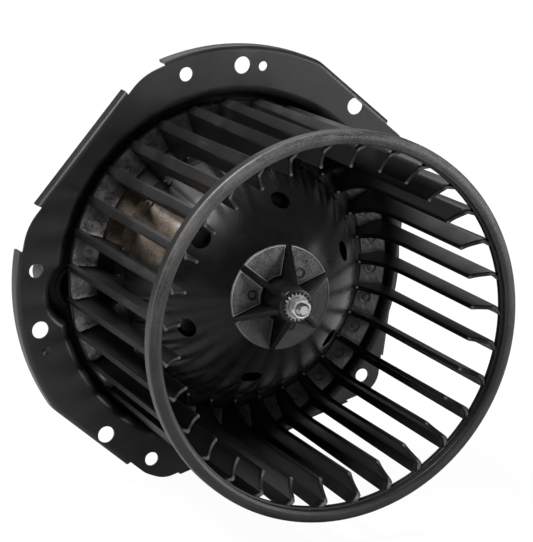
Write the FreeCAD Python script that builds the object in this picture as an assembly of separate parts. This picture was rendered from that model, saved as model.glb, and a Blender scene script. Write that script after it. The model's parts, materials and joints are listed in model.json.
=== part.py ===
import FreeCAD, Part
import math
import os

os.makedirs("parts", exist_ok=True)

# Car cabin blower: a moulded squirrel-cage wheel on a small motor that is held by a stamped flange.
# The wheel turns about the Y axis. Its open front looks along -Y and Z is up.
# The origin is on the wheel axis, in the front (mounting) face of the flange. Sizes are in mm.

# wheel: front ring
RING_R = 75.0
RING_WALL = 4.8
RING_BORE_R = RING_R - RING_WALL
RING_FACE_Y = -102.5
RING_WIDTH = 5.8
RING_EDGE_R = 1.6
RING_LIP_BEVEL = 0.9
RING_STEP_DEPTH = 2.9
RING_STEP = 0.7

# wheel: base plate, dome and hub
# the base plate is smaller than the ring's bore, so that the mould can open along the axis
BASE_GAP = 1.2
BASE_R = RING_BORE_R - BASE_GAP
BASE_FRONT_Y = 1.0
BASE_T = 2.0
BASE_BACK_Y = BASE_FRONT_Y + BASE_T
DOME_RIM_R = 49.8
DOME_RIM_Y = -9.5
DOME_WALL = 2.2
DOME_HOLE_R = 4.1
DOME_HOLE_PCR = 35.6
FLUTE_R = 2.8
FLUTE_DEPTH = 1.0
STAR_COUNT = 6
STAR_FIRST_DEG = 20.0
DISC_R = 20.8
DISC_Y = -48.8
DISC_STEP = 0.9
BOSS_LEN = 15.7
BOSS_TOP_Y = DISC_Y - BOSS_LEN
BOSS_BACK_Y = DISC_Y + 8.8
BOSS_TOP_R = 6.9
BOSS_BASE_R = 7.8
RIB_T = 2.0
RIB_IN_Y = BOSS_TOP_Y + 4.0
# the flank's curve from the disc (0, 0) to the rim (1, 1), as shares of its width and of its height
FLANK = [(1.0, 1.0), (0.9, 0.818), (0.738, 0.583), (0.51, 0.346), (0.262, 0.154), (0.0, 0.0)]
FLUTE_STOPS = [(0.441, 0.286, -0.25), (0.786, 0.643, 0.55), (1.038, 1.065, FLUTE_DEPTH)]

# wheel: blades
BLADE_COUNT = 31
BLADE_FIRST_DEG = 22.9
BLADE_T = 1.7
BLADE_REACH = 9.8
BLADE_TIP_R = RING_BORE_R - BLADE_REACH
BLADE_TIP_Y = RING_FACE_Y + 8.9
BLADE_SWEEP_Y = -30.0
BLADE_ROOT_R = DOME_RIM_R + 2.5
BLADE_ROOT_Y = DOME_RIM_Y + 0.8

# shaft and nut
SHAFT_R = 4.0
THREAD_R = 2.5
THREAD_CLEAR = 0.1
SHOULDER_Y = BOSS_TOP_Y + 2.5
SHAFT_TIP_Y = BOSS_TOP_Y - 7.1
SHAFT_BACK_Y = 52.0
WASHER_T = 0.9
WASHER_R = 5.6
WASHER_TEETH = 12
NUT_AF = 8.0
NUT_T = 4.0

# flange: the recess clears the wheel's base, the holes clear the recess and the edge clears the holes
SHEET = 1.2
WHEEL_CLEAR = 2.5
CUP_R = BASE_R + WHEEL_CLEAR
CUP_DEPTH = 12.0
CUP_LIP_R = 3.6
CUP_FLOOR_R = 4.0
HOLE_GAP = 7.9
HOLE_CIRCLE_R = CUP_R + CUP_LIP_R + HOLE_GAP
EDGE_GAP = 7.9
PLATE_R = HOLE_CIRCLE_R + EDGE_GAP
CHORD_CUT = 7.9
CHORD_U = PLATE_R - CHORD_CUT
SIDE_V = HOLE_CIRCLE_R + 4.6
TAPER_U = HOLE_CIRCLE_R + 5.2
TAPER_SLOPE = 0.644
LIP_DEPTH = 6.2
LIP_BEND_R = 2.0
EAR_INSET = 1.7
EAR_FROM_U = 16.0
EAR_TO_U = 36.0
FLANGE_TILT_DEG = 139.0
BULGE_R = 12.3
BULGE_PCR = CUP_R - 6.9
BULGE_DEG = 182.9
BIG_HOLE_R = 3.5
SMALL_HOLE_R = 2.9
TINY_HOLE_R = 2.0
APEX_HOLE_U = 10.9 - TAPER_U

# motor
CAN_R = 38.0
CAN_WALL = 1.4
CAN_FRONT_Y = -24.0
CAN_LEN = 68.0
CAN_BACK_Y = CAN_FRONT_Y + CAN_LEN
CAN_CORNER_R = 5.0
BEARING_R = 7.0
BEARING_LEN = 8.0
RUNNING_CLEAR = 0.04
BEARING_BORE_R = SHAFT_R + RUNNING_CLEAR
FRONT_BEARING_Y = CAN_FRONT_Y - BEARING_LEN
REAR_BEARING_Y = CAN_BACK_Y + 1.0
SHAFT_HOLE_R = SHAFT_R + 1.2
MAGNET_T = 7.2
MAGNET_Y0 = CAN_FRONT_Y + 10.0
MAGNET_LEN = 36.0
MAGNET_Y1 = MAGNET_Y0 + MAGNET_LEN
MAGNET_HALF_DEG = 62.0
AIR_GAP = 1.0
CORE_R = CAN_R - CAN_WALL - MAGNET_T - AIR_GAP
CORE_Y0 = MAGNET_Y0 + 2.0
CORE_Y1 = MAGNET_Y1 - 2.0
SLOT_COUNT = 12
COIL_HEIGHT = 6.0
COMM_R = 12.0
COMM_Y0 = CORE_Y1 + COIL_HEIGHT + 2.5
COMM_Y1 = COMM_Y0 + 9.5
HUB_INSULATOR_R = SHAFT_R + 4.4
CARD_Y = COMM_Y1 + 1.2
CARD_T = 1.6
BRUSH_GAP = 0.3
BRUSH_W = 6.0
BRUSH_H = 6.0
BRUSH_BOX_R = CAN_R - 5.0
DUCT_PCR = BULGE_PCR - 2.6
DUCT_R = 8.2
DUCT_WALL = 1.4
DUCT_RIM = 0.7
DUCT_SIDE_Y = 33.0
DUCT_SIDE_R = 7.0
SCREW_PCR = CAN_R + 7.5
SCREW_R = 2.0
SCREW_FIRST_DEG = 40.0
CLAMP_R = SCREW_PCR + 5.0

ORIGIN = FreeCAD.Vector(0, 0, 0)
AXIS = FreeCAD.Vector(0, 1, 0)


def v(x, y, z):
    return FreeCAD.Vector(x, y, z)


def polar(r, deg, y=0.0):
    a = math.radians(deg)
    return v(r * math.cos(a), y, r * math.sin(a))


def turn(shape, deg):
    # the angle grows from +X towards +Z, which is a negative turn about +Y
    out = shape.copy()
    out.rotate(ORIGIN, AXIS, -deg)
    return out


def profile_face(points):
    # points are (r, y) pairs; a point written (r, y, mr, my) is reached by an arc through (mr, my)
    edges = []
    last = v(points[0][0], points[0][1], 0)
    for p in points[1:] + [points[0][:2]]:
        end = v(p[0], p[1], 0)
        if len(p) == 4:
            edges.append(Part.Arc(last, v(p[2], p[3], 0), end).toShape())
        elif end.distanceToPoint(last) > 1e-6:
            edges.append(Part.makeLine(last, end))
        last = end
    return Part.Face(Part.Wire(edges))


def revolve(points):
    return profile_face(points).revolve(ORIGIN, AXIS, 360)


def arc_mid(cx, cy, r, deg):
    a = math.radians(deg)
    return cx + r * math.cos(a), cy + r * math.sin(a)


def rod(r, y0, y1, x=0.0, z=0.0):
    return Part.makeCylinder(r, y1 - y0, v(x, y0, z), AXIS)


def tube(r_out, r_in, y0, y1, x=0.0, z=0.0):
    return rod(r_out, y0, y1, x, z).cut(rod(r_in, y0 - 1, y1 + 1, x, z))


def prism(points, y0, y1):
    corners = [v(x, y0, z) for x, z in points]
    face = Part.Face(Part.makePolygon(corners + [corners[0]]))
    return face.extrude(v(0, y1 - y0, 0))


def block(r0, r1, half_width, y0, y1, deg):
    # a bar that runs outwards along the direction deg
    return turn(Part.makeBox(r1 - r0, y1 - y0, 2 * half_width, v(r0, y0, -half_width)), deg)


def side_rod(r, r0, r1, y, deg):
    return turn(Part.makeCylinder(r, r1 - r0, v(r0, y, 0), v(1, 0, 0)), deg)


def export(name, shape):
    shape = shape.removeSplitter()
    if shape.ShapeType == "Compound" and len(shape.Solids) == 1:
        shape = shape.Solids[0]
    shape.exportStep("parts/" + name + ".step")
    print(name, len(shape.Solids), "solid", shape.isValid(), round(shape.Volume / 1000.0, 2), "cm3")


# ---- the moulded wheel ----

def front_ring():
    y0 = RING_FACE_Y
    y1 = y0 + RING_WIDTH
    e = RING_EDGE_R
    b = RING_LIP_BEVEL
    mr, my = arc_mid(RING_R - e, y0 + e, e, -45)
    return revolve([
        (RING_BORE_R + b, y0), (RING_R - e, y0), (RING_R, y0 + e, mr, my), (RING_R, y1),
        (RING_BORE_R - RING_STEP, y1), (RING_BORE_R - RING_STEP, y0 + RING_STEP_DEPTH + 0.3),
        (RING_BORE_R, y0 + RING_STEP_DEPTH), (RING_BORE_R, y0 + b)])


def blade_section():
    # hook-shaped section seen along the axis: a short outer arm and a long, nearly radial inner arm
    line = [(RING_BORE_R + RING_STEP, -2.3), (RING_BORE_R - 2.4, 0.8), (BLADE_TIP_R, 0.0), (BLADE_ROOT_R - 1.7, 0.5)]
    pts = [(r * math.cos(math.radians(a)), r * math.sin(math.radians(a))) for r, a in line]
    left, right = [], []
    h = BLADE_T / 2
    for i, p in enumerate(pts):
        ns = []
        for a, b in ((i - 1, i), (i, i + 1)):
            if a >= 0 and b < len(pts):
                dx, dz = pts[b][0] - pts[a][0], pts[b][1] - pts[a][1]
                n = math.hypot(dx, dz)
                ns.append((-dz / n, dx / n))
        nx = sum(n[0] for n in ns) / len(ns)
        nz = sum(n[1] for n in ns) / len(ns)
        k = h / (nx * nx + nz * nz)
        left.append((p[0] + nx * k, p[1] + nz * k))
        right.append((p[0] - nx * k, p[1] - nz * k))
    return left + right[::-1]


def blade_limit():
    # the outline of a blade in the (r, y) plane: rounded front end, chamfer, straight inner edge, wide root
    y_ring = RING_FACE_Y + RING_STEP_DEPTH
    back = (BASE_FRONT_Y + BASE_BACK_Y) / 2
    bore = RING_BORE_R
    sweep_r = BLADE_TIP_R + 0.22 * (BLADE_ROOT_R - BLADE_TIP_R)
    sweep_y = BLADE_SWEEP_Y + 0.634 * (BLADE_ROOT_Y - BLADE_SWEEP_Y)
    return revolve([
        (bore + RING_STEP, y_ring + 0.2), (bore - 0.6, y_ring + 0.2), (bore - 2.6, y_ring + 1.0, bore - 1.5, y_ring + 0.4),
        (BLADE_TIP_R, BLADE_TIP_Y), (BLADE_TIP_R, BLADE_SWEEP_Y),
        (BLADE_ROOT_R, BLADE_ROOT_Y, sweep_r, sweep_y), (BLADE_ROOT_R, back), (BASE_R, back),
        (bore - 0.5, RING_FACE_Y + RING_WIDTH - 0.3), (bore + RING_STEP, RING_FACE_Y + RING_WIDTH - 0.3)])


def flank(share_r, share_y):
    # a point of the dome's flank: (0, 0) is the edge of the disc and (1, 1) is the rim
    foot = DISC_Y + DISC_STEP
    return DISC_R + share_r * (DOME_RIM_R - DISC_R), foot + share_y * (DOME_RIM_Y - foot)


def dome():
    # base plate, its inner wall, the dome flank and the hub disc as one shell of revolution
    outer = [flank(*share) for share in FLANK]
    inner = []
    for i, (r, y) in enumerate(outer):
        a = outer[max(i - 1, 0)]
        b = outer[min(i + 1, len(outer) - 1)]
        dr, dy = b[0] - a[0], b[1] - a[1]
        n = math.hypot(dr, dy)
        inner.append((r + dy / n * DOME_WALL, y - dr / n * DOME_WALL))
    outer_curve = Part.BSplineCurve()
    outer_curve.interpolate([v(r, y, 0) for r, y in outer])
    inner_curve = Part.BSplineCurve()
    inner_curve.interpolate([v(r, y, 0) for r, y in inner[::-1]])
    thread = THREAD_R + THREAD_CLEAR
    path = [
        outer[-1], (DISC_R, DISC_Y), (BOSS_BASE_R, DISC_Y), (BOSS_TOP_R, BOSS_TOP_Y + 0.5),
        (BOSS_TOP_R - 0.5, BOSS_TOP_Y), (thread, BOSS_TOP_Y), (thread, SHOULDER_Y),
        (SHAFT_R, SHOULDER_Y), (SHAFT_R, BOSS_BACK_Y), (BOSS_BASE_R + 0.6, BOSS_BACK_Y),
        (BOSS_BASE_R + 1.1, DISC_Y + DOME_WALL), inner[-1]]
    edges = [outer_curve.toShape()]
    for a, b in zip(path, path[1:]):
        edges.append(Part.makeLine(v(a[0], a[1], 0), v(b[0], b[1], 0)))
    edges.append(inner_curve.toShape())
    rim_r, rim_y = DOME_RIM_R, DOME_RIM_Y
    path = [
        inner[0], (rim_r + DOME_WALL, BASE_FRONT_Y - 0.6), (rim_r + 4.8, BASE_BACK_Y), (BASE_R, BASE_BACK_Y),
        (BASE_R, BASE_FRONT_Y), (rim_r + 6.8, BASE_FRONT_Y), (rim_r + 3.1, rim_y + 1.9), (rim_r + 1.8, rim_y + 0.7),
        outer[0]]
    for a, b in zip(path, path[1:]):
        edges.append(Part.makeLine(v(a[0], a[1], 0), v(b[0], b[1], 0)))
    return Part.Face(Part.Wire(edges)).revolve(ORIGIN, AXIS, 360)


def dome_flutes():
    # one bent round bar per blade lies along the curved flank; it sinks in towards the rim and leaves a flute
    stops = [flank(share_r, share_y) + (depth,) for share_r, share_y, depth in FLUTE_STOPS]
    mids = []
    for i, (r, y, depth) in enumerate(stops):
        a = stops[max(i - 1, 0)]
        b = stops[min(i + 1, len(stops) - 1)]
        dr, dy = b[0] - a[0], b[1] - a[1]
        n = math.hypot(dr, dy)
        mids.append(v(r + dy / n * (FLUTE_R - depth), y - dr / n * (FLUTE_R - depth), 0))
    arc = Part.Arc(mids[0], mids[1], mids[2])
    centre = arc.toShape().Curve.Center
    out = mids[0].sub(centre)
    end = mids[2].sub(centre)
    sweep = math.degrees(out.getAngle(end))
    along = v(-out.y, out.x, 0)
    disc = Part.Face(Part.Wire(Part.makeCircle(FLUTE_R, mids[0], along)))
    bar = disc.revolve(centre, v(0, 0, 1), sweep)
    return [turn(bar, BLADE_FIRST_DEG + 0.9 + k * 360.0 / BLADE_COUNT) for k in range(BLADE_COUNT)]


def star_rib(deg):
    h = RIB_T / 2
    r0, r1 = BOSS_TOP_R - 2.0, DISC_R - 0.4
    pts = [(r0, DISC_Y + 0.4), (r1, DISC_Y + 0.4), (r1, DISC_Y - 0.5), (r0, RIB_IN_Y - 2.4)]
    corners = [v(r, y, -h) for r, y in pts]
    face = Part.Face(Part.makePolygon(corners + [corners[0]]))
    return turn(face.extrude(v(0, 0, RIB_T)), deg)


def blower_wheel():
    section = prism(blade_section(), RING_FACE_Y + 1, BASE_BACK_Y)
    blade = section.common(blade_limit())
    blades = [turn(blade, BLADE_FIRST_DEG + k * 360.0 / BLADE_COUNT) for k in range(BLADE_COUNT)]
    shell = dome().cut(dome_flutes())
    holes = []
    # the air holes go square through the flank
    across = v(-math.cos(math.radians(47)), math.sin(math.radians(47)), 0)
    share = (DOME_HOLE_PCR - DISC_R) / (DOME_RIM_R - DISC_R)
    on_flank = v(DOME_HOLE_PCR, flank(share, 0.684 * share)[1], 0)
    start = on_flank.sub(v(across.x * 8, across.y * 8, 0))
    for k in range(STAR_COUNT):
        holes.append(turn(Part.makeCylinder(DOME_HOLE_R, 20, start, across), STAR_FIRST_DEG + k * 360.0 / STAR_COUNT))
    ribs = [star_rib(STAR_FIRST_DEG + k * 360.0 / STAR_COUNT) for k in range(STAR_COUNT)]
    shell = shell.cut(holes)
    bores = [rod(SHAFT_R, SHOULDER_Y, BOSS_BACK_Y + 1), rod(THREAD_R + THREAD_CLEAR, BOSS_TOP_Y - 5, SHOULDER_Y)]
    shell = shell.fuse(ribs).cut(bores)
    return shell.fuse([front_ring()] + blades)


# ---- the stamped flange ----

def uv(u, w):
    a = math.radians(FLANGE_TILT_DEG)
    return u * math.cos(a) - w * math.sin(a), u * math.sin(a) + w * math.cos(a)


def outline(inset, y0, y1):
    side = SIDE_V - inset
    chord = CHORD_U - inset
    apex = -TAPER_U + inset * math.hypot(1, TAPER_SLOPE)
    knee = apex + TAPER_SLOPE * side
    points = [uv(chord, -side), uv(chord, side), uv(knee, side), uv(apex, 0), uv(knee, -side)]
    disc = rod(PLATE_R - inset, y0, y1)
    solid = disc.common(prism(points, y0, y1)).removeSplitter()
    ear = {"chord": 26.0 - inset, "side": 14.0, "knee": 13.0 - inset, "apex": 11.5 - inset}
    picks = {"chord": [], "side": [], "knee": [], "apex": []}
    for e in solid.Edges:
        a, b = e.Vertexes[0].Point, e.Vertexes[-1].Point
        if abs(a.x - b.x) < 1e-6 and abs(a.z - b.z) < 1e-6 and abs(a.y - b.y) > 1e-3:
            t = math.radians(FLANGE_TILT_DEG)
            u = a.x * math.cos(t) + a.z * math.sin(t)
            w = abs(-a.x * math.sin(t) + a.z * math.cos(t))
            if w < 1:
                picks["apex"].append(e)
            elif u < 0:
                picks["knee"].append(e)
            elif u > 60:
                picks["chord"].append(e)
            else:
                picks["side"].append(e)
    for kind in ("chord", "side", "knee", "apex"):
        wanted = [(e.Vertexes[0].Point.x, e.Vertexes[0].Point.z) for e in picks[kind]]
        found = []
        for e in solid.Edges:
            a, b = e.Vertexes[0].Point, e.Vertexes[-1].Point
            if abs(a.x - b.x) < 1e-6 and abs(a.z - b.z) < 1e-6 and abs(a.y - b.y) > 1e-3:
                if any(math.hypot(a.x - x, a.z - z) < 0.01 for x, z in wanted):
                    found.append(e)
        if found:
            solid = solid.makeFillet(ear[kind], found)
    return solid


def front_edges(solid, y):
    return [e for e in solid.Edges if all(abs(p.Point.y - y) < 1e-5 for p in e.Vertexes)]


def cup(radius, depth, grow, x=0.0, z=0.0):
    # a filled bowl; grow is 0 for its hollow and the sheet thickness for its outer skin
    lip = CUP_LIP_R - grow
    floor_r = CUP_FLOOR_R + grow
    top = radius + CUP_LIP_R
    r = radius + grow
    y0 = grow
    y1 = depth + grow
    m1 = arc_mid(top, y0 + lip, lip, -135)
    m2 = arc_mid(r - floor_r, y1 - floor_r, floor_r, 45)
    bowl = revolve([
        (0, y0 - 0.6), (top, y0 - 0.6), (top, y0), (r, y0 + lip, m1[0], m1[1]), (r, y1 - floor_r),
        (r - floor_r, y1, m2[0], m2[1]), (0, y1)])
    bowl.translate(v(x, 0, z))
    return bowl


def mounting_flange():
    tray = outline(0.0, 0.0, LIP_DEPTH)
    tray = tray.makeFillet(LIP_BEND_R, front_edges(tray, 0.0))
    well = outline(SHEET, SHEET, LIP_DEPTH + 1)
    well = well.makeFillet(LIP_BEND_R - SHEET, front_edges(well, SHEET))
    tray = tray.cut(well)
    # the five ears have no lip: their edge is set in from the lips
    flat = outline(EAR_INSET, -1.0, SHEET)
    zones = []
    for lo, hi in ((18.8, 31.0), (-31.0, -18.8)):
        zones.append((lo, hi))
    ear_cut = []
    for lo, hi in zones:
        near, far = CUP_R - 10.0, PLATE_R + 20.0
        a = [polar(near, FLANGE_TILT_DEG + lo), polar(far, FLANGE_TILT_DEG + lo),
             polar(far, FLANGE_TILT_DEG + hi), polar(near, FLANGE_TILT_DEG + hi)]
        ear_cut.append(prism([(p.x, p.z) for p in a], -1.0, LIP_DEPTH + 2))
    for sign in (1, -1):
        near, far = sign * (HOLE_CIRCLE_R - 7.5), sign * (PLATE_R + 9.0)
        box = [uv(-EAR_FROM_U, near), uv(-EAR_FROM_U, far), uv(-EAR_TO_U - 24.0, far), uv(-EAR_TO_U, near)]
        ear_cut.append(prism(box, -1.0, LIP_DEPTH + 2))
    u0, u1 = APEX_HOLE_U + 1.3, -PLATE_R - 20.0
    box = [uv(u0, 12.0), uv(u0, -12.0), uv(u1, -12.0), uv(u1, 12.0)]
    ear_cut.append(prism(box, -1.0, LIP_DEPTH + 2))
    for cutter in ear_cut:
        tray = tray.cut(cutter.cut(flat))
    bulge = polar(BULGE_PCR, BULGE_DEG)
    skin = [cup(CUP_R, CUP_DEPTH, SHEET), cup(BULGE_R, CUP_DEPTH, SHEET, bulge.x, bulge.z)]
    hollow = [cup(CUP_R, CUP_DEPTH, 0.0), cup(BULGE_R, CUP_DEPTH, 0.0, bulge.x, bulge.z)]
    flange = tray.fuse(skin).cut(hollow)
    duct = polar(DUCT_PCR, BULGE_DEG)
    cuts = [rod(CAN_R + 1.0, CUP_DEPTH - 1, CUP_DEPTH + SHEET + 1),
            rod(DUCT_R, CUP_DEPTH - 1, CUP_DEPTH + SHEET + 1, duct.x, duct.z)]
    for offset, radius in ((35.8, SMALL_HOLE_R), (52.5, BIG_HOLE_R), (90.0, BIG_HOLE_R), (106.0, SMALL_HOLE_R)):
        for sign in (1, -1):
            p = polar(HOLE_CIRCLE_R, FLANGE_TILT_DEG + sign * offset)
            cuts.append(rod(radius, -2, SHEET + 2, p.x, p.z))
    p = polar(HOLE_CIRCLE_R, FLANGE_TILT_DEG - 58.7)
    cuts.append(rod(TINY_HOLE_R, -2, SHEET + 2, p.x, p.z))
    x, z = uv(APEX_HOLE_U, 0)
    cuts.append(rod(SMALL_HOLE_R, -2, SHEET + 2, x, z))
    for k in range(3):
        p = polar(SCREW_PCR, SCREW_FIRST_DEG + 120 * k)
        cuts.append(rod(SCREW_R, CUP_DEPTH - 1, CUP_DEPTH + SHEET + 1, p.x, p.z))
    flange = flange.cut(cuts)
    p = polar(HOLE_CIRCLE_R, FLANGE_TILT_DEG + 58.7)
    dimple = Part.makeSphere(3.2, v(p.x, -2.6, p.z))
    return flange.cut(dimple)


# ---- the motor ----

def motor_can():
    y0, y1, r, c = CAN_FRONT_Y, CAN_BACK_Y, CAN_R, CAN_CORNER_R
    seat_r = BEARING_R
    nose = FRONT_BEARING_Y - 1.4
    m1 = arc_mid(r - c, y0 + c, c, -45)
    m2 = arc_mid(r - c, y0 + c, c - CAN_WALL, -45)
    can = revolve([
        (SHAFT_HOLE_R, nose), (seat_r + 2.0, nose), (seat_r + 2.6, y0), (r - c, y0), (r, y0 + c, m1[0], m1[1]), (r, y1),
        (r - CAN_WALL, y1), (r - CAN_WALL, y0 + c), (r - c, y0 + CAN_WALL, m2[0], m2[1]),
        (seat_r, y0 + CAN_WALL), (seat_r, FRONT_BEARING_Y),
        (SHAFT_HOLE_R, FRONT_BEARING_Y)])
    cuts = [side_rod(DUCT_SIDE_R - DUCT_WALL, CAN_R - 4, CAN_R + 4, DUCT_SIDE_Y, BULGE_DEG)]
    for k in range(4):
        cuts.append(turn(Part.makeBox(9.0, 6.0, 5.0, v(20.0, y0 - 2.0, -2.5)), 45 + 90 * k))
    return can.cut(cuts)


def end_cap():
    y0 = CAN_BACK_Y
    t = CAN_WALL
    nose = REAR_BEARING_Y + BEARING_LEN + t
    cap = revolve([
        (0, nose), (BEARING_R + t, nose), (BEARING_R + t + 0.5, y0 + t), (CAN_R + t, y0 + t), (CAN_R + t, y0 - 4.0),
        (CAN_R, y0 - 4.0), (CAN_R, y0), (BEARING_R, y0), (BEARING_R, nose - t), (0, nose - t)])
    cuts = [block(17.5, 31.5, 8.0, y0 - 1, y0 + t + 1, 0)]
    for k in (1, 3):
        cuts.append(turn(Part.makeBox(8.0, 6.0, 12.0, v(20.0, y0 - 2.0, -6.0)), 90 * k))
    cuts.append(turn(Part.makeBox(8.0, 6.0, 12.0, v(20.0, y0 - 2.0, -6.0)), 180))
    return cap.cut(cuts)


def mount_ring():
    y0 = CUP_DEPTH + SHEET
    ring = revolve([
        (CAN_R, y0), (CLAMP_R, y0), (CLAMP_R, y0 + 1.4), (CAN_R + 2.4, y0 + 1.4), (CAN_R + 1.4, y0 + 2.6),
        (CAN_R + 1.4, y0 + 8), (CAN_R, y0 + 8)])
    cuts = []
    for k in range(3):
        p = polar(SCREW_PCR, SCREW_FIRST_DEG + 120 * k)
        cuts.append(rod(SCREW_R, y0 - 1, y0 + 2, p.x, p.z))
    return ring.cut(cuts)


def motor_screws():
    y0 = CUP_DEPTH + SHEET + 1.4
    out = []
    for k in range(3):
        p = polar(SCREW_PCR, SCREW_FIRST_DEG + 120 * k)
        head = prism([(p.x + 4.05 * math.cos(math.radians(a)), p.z + 4.05 * math.sin(math.radians(a)))
                      for a in range(0, 360, 60)], y0, y0 + 3.0)
        screw = head.fuse([rod(4.6, y0, y0 + 0.7, p.x, p.z), rod(SCREW_R, CUP_DEPTH - 4.0, y0 + 1, p.x, p.z)])
        out.append(screw.removeSplitter())
    return Part.makeCompound(out)


def cooling_duct():
    c = polar(DUCT_PCR, BULGE_DEG)
    y0 = CUP_DEPTH
    top = DUCT_SIDE_Y + DUCT_SIDE_R + 1.6
    body = rod(DUCT_R + DUCT_RIM, y0 - 1.3, y0, c.x, c.z).fuse([
        rod(DUCT_R, y0 - 1.3, top, c.x, c.z),
        rod(DUCT_R + 1.8, y0 + SHEET, y0 + SHEET + 1.6, c.x, c.z),
        side_rod(DUCT_SIDE_R, CAN_R - 0.4, DUCT_PCR, DUCT_SIDE_Y, BULGE_DEG)])
    body = body.cut([
        rod(DUCT_R - DUCT_WALL, y0 - 3, top - DUCT_WALL, c.x, c.z),
        side_rod(DUCT_SIDE_R - DUCT_WALL, CAN_R - 3, DUCT_PCR, DUCT_SIDE_Y, BULGE_DEG)])
    return body.cut(rod(CAN_R, CAN_FRONT_Y, CAN_BACK_Y))


def bearing(y0):
    c = 0.6
    y1 = y0 + BEARING_LEN
    return revolve([
        (BEARING_BORE_R, y0), (BEARING_R - c, y0), (BEARING_R, y0 + c), (BEARING_R, y1 - c), (BEARING_R - c, y1),
        (BEARING_BORE_R, y1)])


def wedge(angles, y0, y1):
    # a slice of cake whose rim is far outside the can
    far = CAN_R * 2.4
    pts = [(0, 0)] + [(far * math.cos(math.radians(a)), far * math.sin(math.radians(a))) for a in angles]
    return prism(pts, y0, y1)


def magnet(deg):
    r1 = CAN_R - CAN_WALL
    r0 = r1 - MAGNET_T
    arc = tube(r1, r0, MAGNET_Y0, MAGNET_Y1)
    h = MAGNET_HALF_DEG
    return turn(arc.common(wedge((-h, -h / 2, 0, h / 2, h), MAGNET_Y0 - 1, MAGNET_Y1 + 1)), deg)


def magnet_clip(deg):
    # a folded spring strip that spreads the two magnets apart: two legs and a bridge on the can wall
    r1 = CAN_R - CAN_WALL
    a = 90 - MAGNET_HALF_DEG
    arc = tube(r1, r1 - 0.7, MAGNET_Y0 + 4, MAGNET_Y1 - 4)
    full = tube(r1, r1 - 6.2, MAGNET_Y0 + 4, MAGNET_Y1 - 4)

    def slice_of(lo, hi):
        return wedge((lo, (lo + hi) / 2, hi), MAGNET_Y0, MAGNET_Y1)

    legs = [full.common(slice_of(-a, -a + 1.4)), full.common(slice_of(a - 1.4, a))]
    return turn(arc.common(slice_of(-a, a)).fuse(legs).removeSplitter(), deg)


def armature_core():
    core = tube(CORE_R, SHAFT_R, CORE_Y0, CORE_Y1)
    cuts = []
    for k in range(SLOT_COUNT):
        deg = k * 360.0 / SLOT_COUNT
        cuts.append(block(CORE_R - 3, CORE_R + 2, 1.1, CORE_Y0 - 1, CORE_Y1 + 1, deg))
        cuts.append(slot_bar(deg, CORE_Y0 - 1, CORE_Y1 + 1))
    return core.cut(cuts)


def slot_bar(deg, y0, y1):
    pts = [(COMM_R + 1.5, 1.6), (CORE_R - 2.0, 4.4), (CORE_R - 2.0, -4.4), (COMM_R + 1.5, -1.6)]
    return turn(prism(pts, y0, y1), deg)


def armature_winding():
    rings = ((CORE_Y0 - COIL_HEIGHT, CORE_Y0), (CORE_Y1, CORE_Y1 + COIL_HEIGHT))
    ends = [tube(CORE_R - 2.4, HUB_INSULATOR_R - 0.4, y0, y1) for y0, y1 in rings]
    bars = [slot_bar(k * 360.0 / SLOT_COUNT, CORE_Y0, CORE_Y1) for k in range(SLOT_COUNT)]
    return ends[0].fuse([ends[1]] + bars)


def commutator():
    # copper bars with shallow cuts between them, and a riser ring against the coils
    y0 = CORE_Y1 + COIL_HEIGHT
    body = revolve([
        (HUB_INSULATOR_R, y0), (COMM_R + 1.4, y0), (COMM_R + 1.4, COMM_Y0), (COMM_R, COMM_Y0), (COMM_R, COMM_Y1),
        (HUB_INSULATOR_R, COMM_Y1)])
    cuts = [block(COMM_R - 0.8, COMM_R + 3, 0.25, y0, COMM_Y1 + 1, k * 15.0) for k in range(24)]
    return body.cut(cuts)


def insulator():
    return tube(HUB_INSULATOR_R, SHAFT_R, CORE_Y1 + COIL_HEIGHT, COMM_Y1)


def shaft():
    tip = SHAFT_TIP_Y
    return revolve([
        (0, tip), (THREAD_R - 0.5, tip), (THREAD_R, tip + 0.5), (THREAD_R, SHOULDER_Y), (SHAFT_R, SHOULDER_Y),
        (SHAFT_R, SHAFT_BACK_Y - 0.6), (SHAFT_R - 0.6, SHAFT_BACK_Y), (0, SHAFT_BACK_Y)])


def lock_washer():
    y1 = BOSS_TOP_Y
    ring = tube(WASHER_R - 1.1, THREAD_R, y1 - WASHER_T, y1)
    teeth = []
    for k in range(WASHER_TEETH):
        tooth = Part.makeBox(1.6, WASHER_T * 0.75, 1.5, v(WASHER_R - 1.6, y1 - WASHER_T * 0.75, -0.75))
        teeth.append(turn(tooth, k * 360.0 / WASHER_TEETH))
    return ring.fuse(teeth)


def shaft_nut():
    y1 = BOSS_TOP_Y - WASHER_T
    y0 = y1 - NUT_T
    big = NUT_AF / math.sqrt(3)
    pts = [(big * math.cos(math.radians(a + 12)), big * math.sin(math.radians(a + 12))) for a in range(0, 360, 60)]
    hexagon = prism(pts, y0, y1)
    c = 0.55
    limit = revolve([(0, y0), (big - c - 0.25, y0), (big + 0.05, y0 + c), (big + 0.05, y1 - c),
                     (big - c - 0.25, y1), (0, y1)])
    return hexagon.common(limit).cut(rod(THREAD_R, y0 - 1, y1 + 1))


def brush_card():
    card = tube(CAN_R - CAN_WALL, COMM_R + 2.0, CARD_Y, CARD_Y + CARD_T)
    posts = [turn(rod(2.5, CARD_Y + CARD_T, CAN_BACK_Y, BRUSH_BOX_R, 0), a) for a in (45, 135, 225, 315)]
    return card.fuse(posts)


def brush_box(deg):
    # a folded brass box that guides the brush, open at both ends
    h = BRUSH_W / 2
    y1 = CARD_Y
    y0 = CARD_Y - BRUSH_H - 1.2
    outer = block(COMM_R + 2.4, BRUSH_BOX_R, h + 0.6, y0, y1, deg)
    hollow = block(COMM_R, BRUSH_BOX_R - 0.6, h, y0 + 0.6, y1 - 0.6, deg)
    return outer.cut(hollow)


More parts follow.
